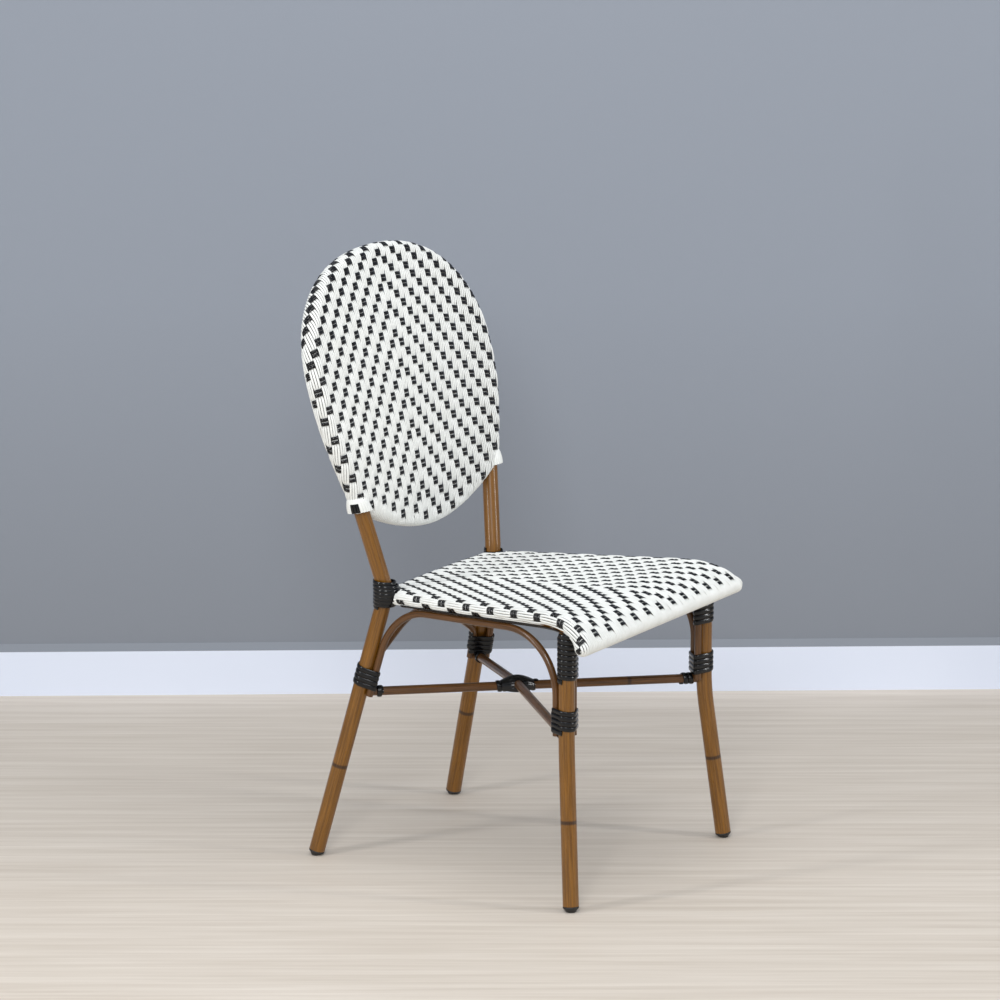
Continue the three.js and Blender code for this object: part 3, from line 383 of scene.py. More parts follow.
def bent(corners, radii, step=4.0):
    """Corners rounded as a tube bender rounds them, with a point every few degrees."""
    corners = [np.array(c, float) for c in corners]
    points = [corners[0]]
    for corner, before, after, radius in zip(corners[1:-1], corners, corners[2:], radii):
        a = (before - corner) / np.linalg.norm(before - corner)
        b = (after - corner) / np.linalg.norm(after - corner)
        turn = math.pi - math.acos(np.clip(a @ b, -1, 1))
        start = corner + a * radius * math.tan(turn / 2)
        centre = corner + (a + b) / np.linalg.norm(a + b) * radius / math.cos(turn / 2)
        arm = start - centre
        forward = -a
        for k in range(int(math.degrees(turn) / step) + 3):
            angle = turn * k / (int(math.degrees(turn) / step) + 2)
            points.append(centre + arm * math.cos(angle) + forward * radius * math.sin(angle))
    points.append(corners[-1])
    return np.array(points)


def filled(points, step=12.0):
    """The same route with no stretch longer than a step."""
    result = [points[0]]
    for a, b in zip(points, points[1:]):
        count = max(1, int(np.linalg.norm(b - a) / step))
        result += [a + (b - a) * k / count for k in range(1, count + 1)]
    return np.array(result)


def mirrored(side, points):
    """Points of the left side, or of the right one where side is -1."""
    return np.array(points, float) * (side, 1, 1)


def lengths_along(points):
    """How far along a route each of its points lies."""
    return np.concatenate([[0], np.cumsum(np.linalg.norm(np.diff(points, axis=0), axis=1))])


def route_mesh(name, routes):
    """Routes as chains of edges: each is (points, outward directions, place of its ring mark)."""
    verts, edges, outs, alongs, rings = [], [], [], [], []
    for points, outward, ring in routes:
        start = len(verts)
        lengths = lengths_along(points)
        verts += [metres(p) for p in points]
        outs += [tuple(o) for o in outward]
        alongs += list(lengths * MM)
        rings += [ring * MM] * len(points)
        edges += [(start + k, start + k + 1) for k in range(len(points) - 1)]
    mesh = bpy.data.meshes.new(name)
    mesh.from_pydata(verts, edges, [])
    mesh.attributes.new("out", "FLOAT_VECTOR", "POINT").data.foreach_set(
        "vector", np.array(outs, float).ravel())
    mesh.attributes.new("along", "FLOAT", "POINT").data.foreach_set("value", alongs)
    mesh.attributes.new("ring", "FLOAT", "POINT").data.foreach_set("value", rings)
    return mesh


# A route that starts steeper than this takes its first direction from x instead of z
STEEP = 0.8


def any_outward(points):
    """For a round tube: one direction square to its route, carried along without twist."""
    tangents = np.gradient(points, axis=0)
    tangents /= np.linalg.norm(tangents, axis=1)[:, None]
    start = np.array((0.0, 0.0, 1.0) if abs(tangents[0][2]) < STEEP else (1.0, 0.0, 0.0))
    outward = []
    for tangent in tangents:
        start = start - tangent * (start @ tangent)
        start /= np.linalg.norm(start)
        outward.append(start.copy())
    return outward


def at_height(points, height):
    """Where a route stands at a height."""
    for a, b in zip(points, points[1:]):
        if (a[2] - height) * (b[2] - height) <= 0 and a[2] != b[2]:
            return a + (b - a) * (height - a[2]) / (b[2] - a[2])
    return points[-1]


FRONT_ROUTE = bent(FRONT_LEG, [FRONT_LEG_BEND])
REAR_ROUTE = bent(REAR_LEG, [REAR_LEG_BEND])
# Ways at the left rear leg: down along it, and square to it toward its arches
REAR_DOWN = np.array((98.97, 238.82, -966.01)) / 1000
REAR_FORWARD = np.array((24.34, -971.06, -237.58)) / 1000
REAR_INWARD = np.array((-994.79, 0.0, -101.92)) / 1000


def rear_leg(height):
    """Centre line of the left rear leg below its crank, at a height."""
    crank, foot = np.array(REAR_LEG[1]), np.array(REAR_FOOT)
    return crank + (foot - crank) * (crank[2] - height) / crank[2]


def up_front_leg(offset):
    """The leg of an arch beside the left front leg, from its foot up."""
    bend = [p for p in FRONT_ROUTE[1:-1][::-1] if p[2] > ARCH_FOOT_FRONT]
    return [p + offset for p in [at_height(FRONT_ROUTE, ARCH_FOOT_FRONT), *bend]]


def side_arch(side):
    """A side arch in the left side's place, from the rear leg to the front one."""
    start = rear_leg(ARCH_FOOT_REAR[side]) + REAR_FORWARD * BESIDE
    leg = up_front_leg(np.array((0, BESIDE, 0)))

    def under(y):
        share = (SEAT_REAR[1] - y) / (SEAT_REAR[1] - SEAT_KNEE[1])
        return SEAT_REAR + (SEAT_KNEE - SEAT_REAR) * share - (0, 0, SIDE_ARCH_DROP)

    rise = -REAR_DOWN
    reach = (under(start[1])[2] - start[2]) / rise[2]
    corners = [start, under(start[1] + rise[1] * reach), under(leg[-1][1]), leg[-1]]
    return np.vstack([bent(corners, SIDE_ARCH_BENDS), leg[:-1][::-1]])


def rear_arch():
    """The arch between the rear legs, from left to right."""
    def leg(side, sign):
        return [mirrored(sign, rear_leg(height) + REAR_INWARD * BESIDE)
                for height in (ARCH_FOOT_REAR[side], REAR_LOW[side] + REAR_ARCH_SHOULDER)]
    left, right = leg("left", 1), leg("right", -1)
    crown = (left[1] + right[1]) / 2 + (0, 0, REAR_ARCH_CROWN)
    return bent([*left, crown, *right[::-1]], REAR_ARCH_BENDS)


def front_arch():
    """The arch between the front legs, from left to right."""
    leg = up_front_leg(np.array((-BESIDE, 0, 0)))
    corner = leg[-1] * (1, 1, 0) + (0, 0, FRONT_ARCH_TOP)
    top = bent([leg[-1], corner, mirrored(-1, corner), mirrored(-1, leg[-1])],
               [FRONT_ARCH_BEND] * 2)
    return np.vstack([leg[:-1], top, mirrored(-1, leg[:-1])[::-1]])


def upper_stretcher():
    """The upper stretcher, which bows over the lower one where they cross."""
    rear, front = (np.array(p) for p in UPPER_ENDS)
    top = rear + (front - rear) * CROSSING_SHARE
    top[2] += BOW_HEIGHT
    return bent([rear, top, front], [BOW_RADIUS])


def back_spot(x, rise, forward):
    """A point of the leaning back: across it, up it and forward of the hoop's centre line."""
    beyond = np.maximum(0, rise - SPLICE_RISE)
    slope = BACK_LEAN + np.arctan(beyond / BACK_CURVE)
    return np.stack([
        x,
        REAR_LEG[1][1] + rise * math.sin(BACK_LEAN) + beyond ** 2 / (2 * BACK_CURVE)
        - forward * np.cos(slope),
        REAR_LEG[1][2] + rise * math.cos(BACK_LEAN) + forward * np.sin(slope)], -1)


def smooth(value, low, high):
    """0 below low, 1 above high, and a soft step between them."""
    share = np.clip((value - low) / (high - low), 0, 1)
    return share * share * (3 - 2 * share)


def hoop_outline():
    """The oval of the hoop's and lower rail's centre lines, anticlockwise, as (x, rise)."""
    t = np.linspace(0, 1, SIDE_POINTS)[:, None]
    start = np.array((CRANK_SPAN + UPRIGHT_SPLAY * SPLICE_RISE, SPLICE_RISE))
    widest = np.array((HOOP_HALF, HOOP_WIDEST))
    pull = start + np.array((math.sin(HOOP_START), math.cos(HOOP_START))) * HOOP_PULLS[0]
    rest = widest - (0, HOOP_PULLS[1])
    side = ((1 - t) ** 3 * start + 3 * t * (1 - t) ** 2 * pull
            + 3 * t * t * (1 - t) * rest + t ** 3 * widest)
    angle = np.linspace(0, math.pi / 2, CROWN_POINTS)[1:]
    crown = np.stack([HOOP_HALF * np.maximum(0, np.cos(angle)) ** (2 / HOOP_ROUND),
                      HOOP_WIDEST + (HOOP_TOP - HOOP_WIDEST) * np.sin(angle) ** (2 / HOOP_ROUND)],
                     1)
    half = np.vstack([side, crown])
    low, end, span, curve = LOW_RAIL
    x = np.linspace(LOW_RAIL_INSET - span, span - LOW_RAIL_INSET, RAIL_POINTS)
    rail = np.stack([x, low + (end - low) * np.abs(x / span) ** curve], 1)
    return np.vstack([half, half[::-1][1:] * (-1, 1), rail[1:-1]])


def enclosed(outline, points):
    """Which points lie inside a closed outline."""
    odd = np.zeros(len(points), bool)
    for (x0, y0), (x1, y1) in zip(outline, np.roll(outline, -1, 0)):
        if y0 == y1:
            continue
        crossed = (y0 > points[:, 1]) != (y1 > points[:, 1])
        odd ^= crossed & (points[:, 0] < x0 + (points[:, 1] - y0) * (x1 - x0) / (y1 - y0))
    return odd


# Square of the shortest stretch that counts, and how far off an outline is still on it
TINY = 1e-9
ON_OUTLINE = 0.01


def nearest(outline, points):
    """Nearest place of a closed outline, the way out of it, and the distance past it."""
    ends = np.roll(outline, -1, 0)
    along = ends - outline
    best = np.full(len(points), np.inf)
    spot = np.zeros_like(points)
    way = np.zeros_like(points)
    for start, run in zip(outline, along):
        if run @ run < TINY:
            continue
        share = np.clip(((points - start) @ run) / (run @ run), 0, 1)
        place = start + share[:, None] * run
        gap = ((points - place) ** 2).sum(1)
        closer = gap < best
        best[closer] = gap[closer]
        spot[closer] = place[closer]
        way[closer] = np.array((run[1], -run[0])) / np.linalg.norm(run)
    offset = points - spot
    past = np.sqrt(best) * np.where(enclosed(outline, points), -1, 1)
    outside = past > ON_OUTLINE
    way[outside] = offset[outside] / np.linalg.norm(offset[outside], axis=1)[:, None]
    return spot, way, past


# Where the back's columns and rows lie: (across, rise) for each power of the row, first for the
# middle column, then for the reach of a side's columns, their sag and their fan at the rims
WEAVE_SIDE = 16
WEAVE_MIDDLE_ROW = 13
WEAVE_HALF_ROWS = 14
MIDDLE_COLUMN = ((-21.6, 321.2), (-22.0, -216.2), (9.4, -14.5), (3.9, 7.1))
SIDE_REACH = ((202.4, -7.9), (-8.0, 4.7), (5.1, 7.3))
SIDE_SAG = ((8.2, -14.8), (8.6, 10.0))
RIM_FAN = ((3.0, -2.8),)
BACK_COLUMNS = 27
BACK_ROWS = (-7, 33)
CARRIER_STEP = 0.25
COLUMN_PITCH = 12.8
SWELL_LIMITS = (0.8, 1.5)
SWELL_PROBE = 0.1
LATTICE_SHARE = 1 / 64
CELLS_A_BLACK = 3.0
SIDES_CHANGE = (0.34, 0.82)
STRAND_INSET = 1.5


def back_carrier(column, row):
    """Place and outward direction of the back's weave at each column and row, and its wrap."""
    side = column / WEAVE_SIDE
    down = (row - WEAVE_MIDDLE_ROW) / WEAVE_HALF_ROWS
    x, rise = (sum(terms[axis] * side ** i * down ** j
                   for i, group in enumerate((MIDDLE_COLUMN, SIDE_REACH, SIDE_SAG, RIM_FAN))
                   for j, terms in enumerate(group)) for axis in (0, 1))
    spot, way, past = nearest(hoop_outline(), np.stack([x, rise], 1))
    inside = past <= 0
    spot[inside] = np.stack([x, rise], 1)[inside]
    rim = LOW_RIM + (HOOP_RIM - LOW_RIM) * smooth(spot[:, 1], *RIM_GROWS) - STRAND_INSET
    angle = np.where(inside, 0, past / rim)
    across = (rim * np.sin(angle))[:, None] * way
    middle = back_spot(spot[:, 0], spot[:, 1], np.zeros(len(spot)))
    place = back_spot(spot[:, 0] + across[:, 0], spot[:, 1] + across[:, 1], rim * np.cos(angle))
    front = back_spot(spot[:, 0], spot[:, 1], np.ones(len(spot))) - middle
    outward = np.where(inside[:, None], front, place - middle)
    outward /= np.linalg.norm(outward, axis=1)[:, None]
    return place, outward, angle, way


def seat_side():
    """A side rail's centre line in the seat's side view: lengths along it and its points."""
    run = (SEAT_KNEE - SEAT_REAR) / (SEAT_REAR[1] - SEAT_KNEE[1])
    pull = SEAT_KNEE + run * (SEAT_KNEE[1] - SEAT_FRONT[1]) * KNEE_REACH_SHARE
    t = np.linspace(0, 1, KNEE_POINTS)[1:, None]
    bend = (1 - t) ** 2 * SEAT_KNEE + 2 * t * (1 - t) * pull + t * t * SEAT_FRONT
    points = np.vstack([SEAT_REAR, SEAT_KNEE, bend])
    return lengths_along(points[:, 1:]), points


SEAT_LENGTHS, SEAT_POINTS = seat_side()
SEAT_REACH = SEAT_LENGTHS[-1]
SEAT_FRONT_HALF = 218.2
SEAT_COLUMN = 12.26
SEAT_MIDDLE = -3.0
SEAT_SKEW = -0.026
# How far the near side's rim lies above the solid, from the rear to the front, over which
# lengths that grows and over which share of the half width it begins
NEAR_RISE = (3.0, 5.0)
NEAR_RISE_SPAN = (150.0, 330.0)
NEAR_SHARE = (0.55, 0.95)
FRONT_ZONE = 60.0
SEAT_FIRST_ROW = 401.5
SEAT_ROW = 14.3
SEAT_ROW_GROWTH = 0.075


def seat_edge(length):
    """Points of the left side rail at lengths along it."""
    spread = [np.interp(length, SEAT_LENGTHS, SEAT_POINTS[:, k]) for k in range(3)]
    return np.stack(spread, -1)


def seat_outline():
    """The seat's rails from above, as (x, length along a side rail), anticlockwise."""
    lengths = np.linspace(0, SEAT_REACH, SEAT_SIDE_POINTS)
    half = seat_edge(lengths)[:, 0]
    side = np.stack([half, -lengths], 1)
    tip = np.array(((half[-1] + FRONT_TIP, -SEAT_REACH),))
    x = np.linspace(-1, 1, REAR_RAIL_POINTS)[1:-1]
    rear = np.stack([SEAT_REAR[0] * x, REAR_RAIL_BOW * (1 - x ** 2) + REAR_RAIL_START], 1)
    return np.vstack([side[1:-1][::-1], side[:1], rear[::-1], side[:1] * (-1, 1),
                      side[1:-1] * (-1, 1), tip * (-1, 1), tip])


def seat_carrier(column, row):
    """Place and outward direction of the seat's weave at each column and row, and its wrap."""
    length = SEAT_FIRST_ROW - SEAT_ROW * row - SEAT_ROW_GROWTH * row ** 2
    spread = seat_edge(np.clip(length, 0, SEAT_REACH))[:, 0] / SEAT_FRONT_HALF
    x = spread * (SEAT_MIDDLE + SEAT_COLUMN * column + SEAT_SKEW * column ** 2)
    flat = np.stack([x, -length], 1)
    spot, way, past = nearest(seat_outline(), flat)
    inside = past <= 0
    spot[inside] = flat[inside]
    along = np.clip(-spot[:, 1], 0, SEAT_REACH)
    run = seat_edge(np.minimum(along + 1, SEAT_REACH)) - seat_edge(np.maximum(along - 1, 0))
    run[:, 0] = 0
    run /= np.linalg.norm(run, axis=1)[:, None]
    up = np.stack([np.zeros(len(run)), run[:, 2], -run[:, 1]], 1)
    rim = SIDE_RIM + (FRONT_RIM - SIDE_RIM) * smooth(along, SEAT_REACH - FRONT_ZONE, SEAT_REACH)
    rim -= STRAND_INSET
    edge = seat_edge(along)
    middle = np.stack([spot[:, 0], edge[:, 1], edge[:, 2]], 1)
    middle += run * (-spot[:, 1] - along)[:, None]
    share = np.clip(np.abs(x) / edge[:, 0], 0, 1)
    dish = SEAT_DISH * (1 - share ** 2) * np.sin(math.pi * along / SEAT_REACH)
    near = smooth(-x / edge[:, 0], *NEAR_SHARE)
    near *= smooth(-along, -SEAT_REACH, FRONT_ZONE - SEAT_REACH)
    growth = (NEAR_RISE[1] - NEAR_RISE[0]) * smooth(along, *NEAR_RISE_SPAN)
    middle += up * (near * (NEAR_RISE[0] + growth))[:, None]
    angle = np.where(inside, 0, past / rim)
    way3 = np.stack([way[:, 0], np.zeros(len(way)), np.zeros(len(way))], 1) - run * way[:, 1:]
    place = middle + way3 * (rim * np.sin(angle))[:, None]
    place += up * (rim * np.cos(angle) - np.where(inside, dish, 0))[:, None]
    outward = np.where(inside[:, None], up, place - middle)
    outward /= np.linalg.norm(outward, axis=1)[:, None]
    return place, outward, angle, way


def carrier(name, place, columns, rows, keep, plain):
    """A surface for the weave to lie on, as a grid of columns and rows where keep allows it.

    Where plain says so no black shows, and swell is how much wider than its usual a column is.
    """
    across = np.arange(-columns, columns + CARRIER_STEP, CARRIER_STEP)
    down = np.arange(rows[0], rows[1] + CARRIER_STEP, CARRIER_STEP)
    column, row = (g.ravel() for g in np.meshgrid(across, down))
    spots, outward, angle, way = place(column, row)
    good = keep(spots, angle, way)
    _, _, cell_angle, cell_way = place(np.round(column), np.round(row))
    beside = place(column + SWELL_PROBE, row)[0] - place(column - SWELL_PROBE, row)[0]
    pitch = np.linalg.norm(beside, axis=1) / (2 * SWELL_PROBE)
    swell = np.clip(pitch / COLUMN_PITCH, *SWELL_LIMITS)
    wide = len(across)
    faces = []
    for j in range(len(down) - 1):
        for i in range(wide - 1):
            a = j * wide + i
            if good[a] and good[a + 1] and good[a + wide] and good[a + wide + 1]:
                faces.append((a, a + 1, a + wide + 1, a + wide))
    mesh = bpy.data.meshes.new(name)
    mesh.from_pydata([metres(p) for p in spots], [], faces)
    lattice = np.stack([column, row, np.zeros(len(row))], 1) * LATTICE_SHARE
    mesh.attributes.new("lattice", "FLOAT_VECTOR", "POINT").data.foreach_set(
        "vector", lattice.ravel())
    mesh.attributes.new("face_out", "FLOAT_VECTOR", "POINT").data.foreach_set(
        "vector", outward.ravel())
    mesh.attributes.new("plain", "FLOAT", "POINT").data.foreach_set(
        "value", plain(cell_angle, cell_way).astype(float))
    mesh.attributes.new("swell", "FLOAT", "POINT").data.foreach_set("value", swell)
    made = bpy.data.objects.new(name, mesh)
    bpy.context.scene.collection.objects.link(made)
    return made


# Materials
def new_material(name):
    """A material with its node tree and the shader that it starts with."""
    material = bpy.data.materials.new(name)
    material.use_nodes = True
    tree = material.node_tree
    return material, tree, tree.nodes["Principled BSDF"]


def lacquered_tube(name, light, dark):
    """Aluminium tube painted like bamboo: streaks along it under a clear lacquer, so that it
    shines in long narrow lights, with a dark ring where a cane has its knot."""
    material, tree, shader = new_material(name)
    about = add(tree, "ShaderNodeAttribute", attribute_name="round")
    along = add(tree, "ShaderNodeAttribute", attribute_name="along")
    ring = add(tree, "ShaderNodeAttribute", attribute_name="ring")
    run = add(tree, "ShaderNodeCombineXYZ", {"Z": along.outputs["Fac"]})
    # streaks about 2.5 mm wide on a 25 mm tube and 70 mm long
    around = add(tree, "ShaderNodeVectorMath", {
        0: about.outputs["Vector"], "Scale": 3.2}, operation="SCALE")
    stretch = add(tree, "ShaderNodeVectorMath", {0: run, "Scale": 9.0}, operation="SCALE")
    grain_at = add(tree, "ShaderNodeVectorMath", {0: around, 1: stretch}, operation="ADD")
    grain = add(tree, "ShaderNodeTexNoise", {
        "Vector": grain_at, "Scale": 1.6, "Detail": 4.0, "Roughness": 0.6})
    tone = add(tree, "ShaderNodeValToRGB", {"Fac": grain})
    for element, place, shade in zip(tone.color_ramp.elements, (0.36, 0.66), (dark, light)):
        element.position = place
        element.color = shade
    away = add(tree, "ShaderNodeMath", {
        0: along.outputs["Fac"], 1: ring.outputs["Fac"]}, operation="SUBTRACT")
    gap = add(tree, "ShaderNodeMath", {0: away}, operation="ABSOLUTE")
    # the ring mark is about 5 mm wide with soft edges
    mark = add(tree, "ShaderNodeMapRange", {
        "Value": gap, "From Min": 0.0012, "From Max": 0.0045, "To Min": 0.85, "To Max": 0.0},
        interpolation_type="SMOOTHSTEP")
    colour = add(tree, "ShaderNodeMix", {
        "Factor": mark, 6: tone, 7: linear("#2E1B0C")}, data_type="RGBA")
    fine = add(tree, "ShaderNodeTexNoise", {"Vector": grain_at, "Scale": 6.0, "Detail": 2.0})
    gloss = add(tree, "ShaderNodeMapRange", {"Value": fine, "To Min": 0.22, "To Max": 0.36})
    bump = add(tree, "ShaderNodeBump", {"Strength": 0.25, "Distance": 0.0004, "Height": grain})
    feed(tree, shader, {
        "Base Color": colour, "Roughness": gloss, "Normal": bump, "Coat Weight": 0.25,
        "Coat Roughness": 0.08, "Specular IOR Level": 0.4})
    return material


def resin_strand(name, colour, shade, rough, coat):
    """Extruded resin strand: fine ribs along it from the die, which draw its lights out, and
    slow patches of another shade and gloss."""
    material, tree, shader = new_material(name)
    about = add(tree, "ShaderNodeAttribute", attribute_name="round")
    parts = add(tree, "ShaderNodeSeparateXYZ", {"Vector": about.outputs["Vector"]})
    # six ribs across a strand
    wave = add(tree, "ShaderNodeMath", {0: parts.outputs["Y"], 1: 18.0}, operation="MULTIPLY")
    ribs = add(tree, "ShaderNodeMath", {0: wave}, operation="SINE")
    place = add(tree, "ShaderNodeTexCoord")
    patches = add(tree, "ShaderNodeTexNoise", {
        "Vector": place.outputs["Object"], "Scale": 60.0, "Detail": 3.0})
    blend = add(tree, "ShaderNodeMapRange", {"Value": patches, "From Min": 0.3, "From Max": 0.75})
    mixed = add(tree, "ShaderNodeMix", {"Factor": blend, 6: colour, 7: shade}, data_type="RGBA")
    gloss = add(tree, "ShaderNodeMapRange", {
        "Value": patches, "To Min": rough - 0.06, "To Max": rough + 0.1})
    bump = add(tree, "ShaderNodeBump", {"Strength": 0.15, "Distance": 0.0002, "Height": ribs})
    feed(tree, shader, {
        "Base Color": mixed, "Roughness": gloss, "Normal": bump, "Coat Weight": coat,
        "Coat Roughness": 0.1, "Specular IOR Level": 0.42})
    return material


def moulded_rubber(name):
    """Moulded rubber foot: dull, with the faint grain of the mould, paler where it rubs."""
    material, tree, shader = new_material(name)
    place = add(tree, "ShaderNodeTexCoord")
    grain = add(tree, "ShaderNodeTexNoise", {
        "Vector": place.outputs["Object"], "Scale": 900.0, "Detail": 2.0})
    height = add(tree, "ShaderNodeSeparateXYZ", {"Vector": place.outputs["Object"]})
    worn = add(tree, "ShaderNodeMapRange", {
        "Value": height.outputs["Z"], "From Min": 0.0, "From Max": 0.002, "To Min": 0.6,
        "To Max": 0.0})
    colour = add(tree, "ShaderNodeMix", {
        "Factor": worn, 6: linear("#1B1A1A"), 7: linear("#4A4744")}, data_type="RGBA")
    bump = add(tree, "ShaderNodeBump", {"Strength": 0.2, "Distance": 0.0002, "Height": grain})
    feed(tree, shader, {"Base Color": colour, "Normal": bump, "Roughness": 0.5})
    return material


def powder_coat(name, colour):
    """Powder coat on the rails under the weave: a fine orange peel, even in colour, which is
    what shows of it between two strands."""
    material, tree, shader = new_material(name)
    place = add(tree, "ShaderNodeTexCoord")
    peel = add(tree, "ShaderNodeTexNoise", {
        "Vector": place.outputs["Object"], "Scale": 1400.0, "Detail": 2.0})
    bump = add(tree, "ShaderNodeBump", {"Strength": 0.15, "Distance": 0.0001, "Height": peel})
    gloss = add(tree, "ShaderNodeMapRange", {"Value": peel, "To Min": 0.36, "To Max": 0.5})
    feed(tree, shader, {"Normal": bump, "Roughness": gloss, "Base Color": colour})
    return material


MADE = {}


def shared(key, maker, *values):
    """A material or tree that several pieces share, made the first time."""
    if key not in MADE:
        MADE[key] = maker(*values)
    return MADE[key]


def section():
    """The tree that sweeps a section along routes."""
    return shared("section", section_tree)


def lacquer(tone):
    """The lacquer of the legs, or the darker one of the arches and stretchers."""
    values = bpy.context.scene.chair_settings
    if tone == "bamboo_tube":
        return shared(tone, lacquered_tube, "bamboo_look_lacquer",
                      tuple(values.bamboo_light), tuple(values.bamboo_dark))
    return shared(tone, lacquered_tube, "walnut_look_lacquer",
                  tuple(values.walnut_light), tuple(values.walnut_dark))


# Roughness and coat of the two resins: the black one is moulded smooth, the white one is duller
BLACK_SHINE = (0.12, 0.0)
WHITE_SHINE = (0.46, 0.15)


def strand_finish(tone):
    """The black or the white strand's resin."""
    values = bpy.context.scene.chair_settings
    if tone == BLACK:
        return shared(tone, resin_strand, "black_resin_strand",
                      tuple(values.black_colour), linear("#0A0C10"), *BLACK_SHINE)
    return shared(tone, resin_strand, "white_resin_strand",
                  tuple(values.white_colour), linear("#E2E4E0"), *WHITE_SHINE)


def fitted(piece, slot_name, *nodes):
    """Rides the piece on the chair and lets it stand for its nodes."""
    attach(piece, "root")
    if nodes:
        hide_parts(*nodes)
    return piece


def tube(name, points, radius, slot_name, ring, *nodes):
    """One lacquered tube along its route."""
    points = filled(np.array(points, float))
    mesh = route_mesh(name + "_route", [(points, any_outward(points), ring)])
    piece = grown(name, mesh, section(), {
        "Width": 2 * radius * MM, "Thickness": 2 * radius * MM,
        "Sides": bpy.context.scene.chair_settings.tube_sides, "Material": lacquer(slot_name)})
    return fitted(piece, slot_name, *nodes)


# Strand round the joints
TURN_STEPS = 36
BINDING_PITCH = 8.0
# The place of a ring mark that is on no tube
NO_RING = 9000.0
BINDING_SIDES = 12
BINDING_SINK = 0.1
# Where each leg's bindings start, as a height or as a length along the leg, and their turns
FRONT_TOP_BINDING = (356.5, 9.1)
FRONT_LOW_BINDING = (276.0, 4.1)
REAR_LOW_BINDING = (-16.5, 4.1)


def wound(origin, axis, first, circles, start, turns, pitch, clear):
    """A strand wound round a bundle of tubes, given as circles across the axis."""
    origin, axis, first = (np.array(v, float) for v in (origin, axis, first))
    axis /= np.linalg.norm(axis)
    first = first - axis * (first @ axis)
    first /= np.linalg.norm(first)
    second = np.cross(axis, first)
    points, outward = [], []
    for k in range(int(turns * TURN_STEPS) + 1):
        turn = k / TURN_STEPS
        angle = 2 * math.pi * turn
        climb = start + pitch * turn
        way = np.array((math.cos(angle), math.sin(angle)))
        x, y, radius = max(circles(climb), key=lambda c: c[0] * way[0] + c[1] * way[1] + c[2])
        spot = np.array((x, y)) + way * (radius + clear)
        points.append(origin + axis * climb + first * spot[0] + second * spot[1])
        outward.append(first * way[0] + second * way[1])
    return np.array(points), np.array(outward), NO_RING


def strand_piece(name, routes, *nodes):
    """Black strand along its routes."""
    values = bpy.context.scene.chair_settings
    piece = grown(name, route_mesh(name + "_route", routes), section(), {
        "Width": values.binding_width, "Thickness": values.binding_thickness,
        "Sides": BINDING_SIDES, "Material": strand_finish(BLACK)})
    return fitted(piece, BLACK, *nodes)


def binding_clear(values):
    """From a tube to the middle of the strand wound on it, which sinks in a little."""
    return values.binding_thickness / MM / 2 - BINDING_SINK


def side_route(side, route):
    """A left side's route, or its mirror where side is -1."""
    points, outward, ring = route
    return mirrored(side, points), mirrored(side, outward), ring


SIDES = {"left": 1, "right": -1}
UP = np.array((0.0, 0.0, 1.0))
RING_HEIGHTS = {("front", "left"): 135.4, ("front", "right"): 137.5,
                ("rear", "left"): 149.8, ("rear", "right"): 149.8}
LOWER_STRETCHER_RING = 430.0


class CHAIR_OT_legs(bpy.types.Operator):
    """Front and rear legs as lacquered tube"""
    bl_idname = "chair.legs"
    bl_label = "Legs"

    def execute(self, context):
        for (end, side), height in RING_HEIGHTS.items():
            route = FRONT_ROUTE if end == "front" else REAR_ROUTE
            points = filled(route)
            lengths = lengths_along(points)
            ring = float(np.interp(-height, -points[:, 2], lengths))
            tube(f"{end}_leg_{side}_tube", mirrored(SIDES[side], route), LEG_RADIUS,
                 "bamboo_tube", ring, f"{end}_leg_{side}")
        return {"FINISHED"}


class CHAIR_OT_arches(bpy.types.Operator):
    """Arches under the seat"""
    bl_idname = "chair.arches"
    bl_label = "Arches"

    def execute(self, context):
        for side, sign in SIDES.items():
            tube(f"side_arch_{side}_tube", mirrored(sign, side_arch(side)), ARCH_RADIUS,
                 "dark_tube", NO_RING, f"side_arch_{side}")
        tube("front_arch_tube", front_arch(), ARCH_RADIUS, "dark_tube", NO_RING, "front_arch")
        tube("rear_arch_tube", rear_arch(), ARCH_RADIUS, "dark_tube", NO_RING, "rear_arch")
        return {"FINISHED"}


class CHAIR_OT_stretchers(bpy.types.Operator):
    """The two crossed stretchers"""
    bl_idname = "chair.stretchers"
    bl_label = "Stretchers"

    def execute(self, context):
        tube("stretcher_upper_tube", upper_stretcher(), STRETCHER_RADIUS, "dark_tube",
             NO_RING, "stretcher_upper")
        tube("stretcher_lower_tube", np.array(LOWER_ENDS), STRETCHER_RADIUS, "dark_tube",
             LOWER_STRETCHER_RING, "stretcher_lower")
        return {"FINISHED"}


class CHAIR_OT_hidden_rails(bpy.types.Operator):
    """Powder coat on the rails and the hoop that the weave covers"""
    bl_idname = "chair.hidden_rails"
    bl_label = "Covered rails"

    def execute(self, context):
        finish = shared("covered_rail", powder_coat, "satin_powder_coat",
                        tuple(context.scene.chair_settings.bamboo_dark))
        for name in ("back_hoop", "back_lower_rail", "seat_rail_left", "seat_rail_right",
                     "seat_rail_front", "seat_rail_rear"):
            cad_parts[name].material_slots[0].material = finish
        return {"FINISHED"}


# Half the section of a glide, as radius and height, from its top inside the tube round to its sole
GLIDE_PROFILE = ((0, -11), (5, -11), (6.4, -10.4), (7.4, -9), (9.9, -5.2), (11.6, -3.6),
                 (12.4, -2.6), (12.5, -0.4), (9, -0.3), (9, 4))
GLIDE_STEPS = 48
MERGE = 1e-6


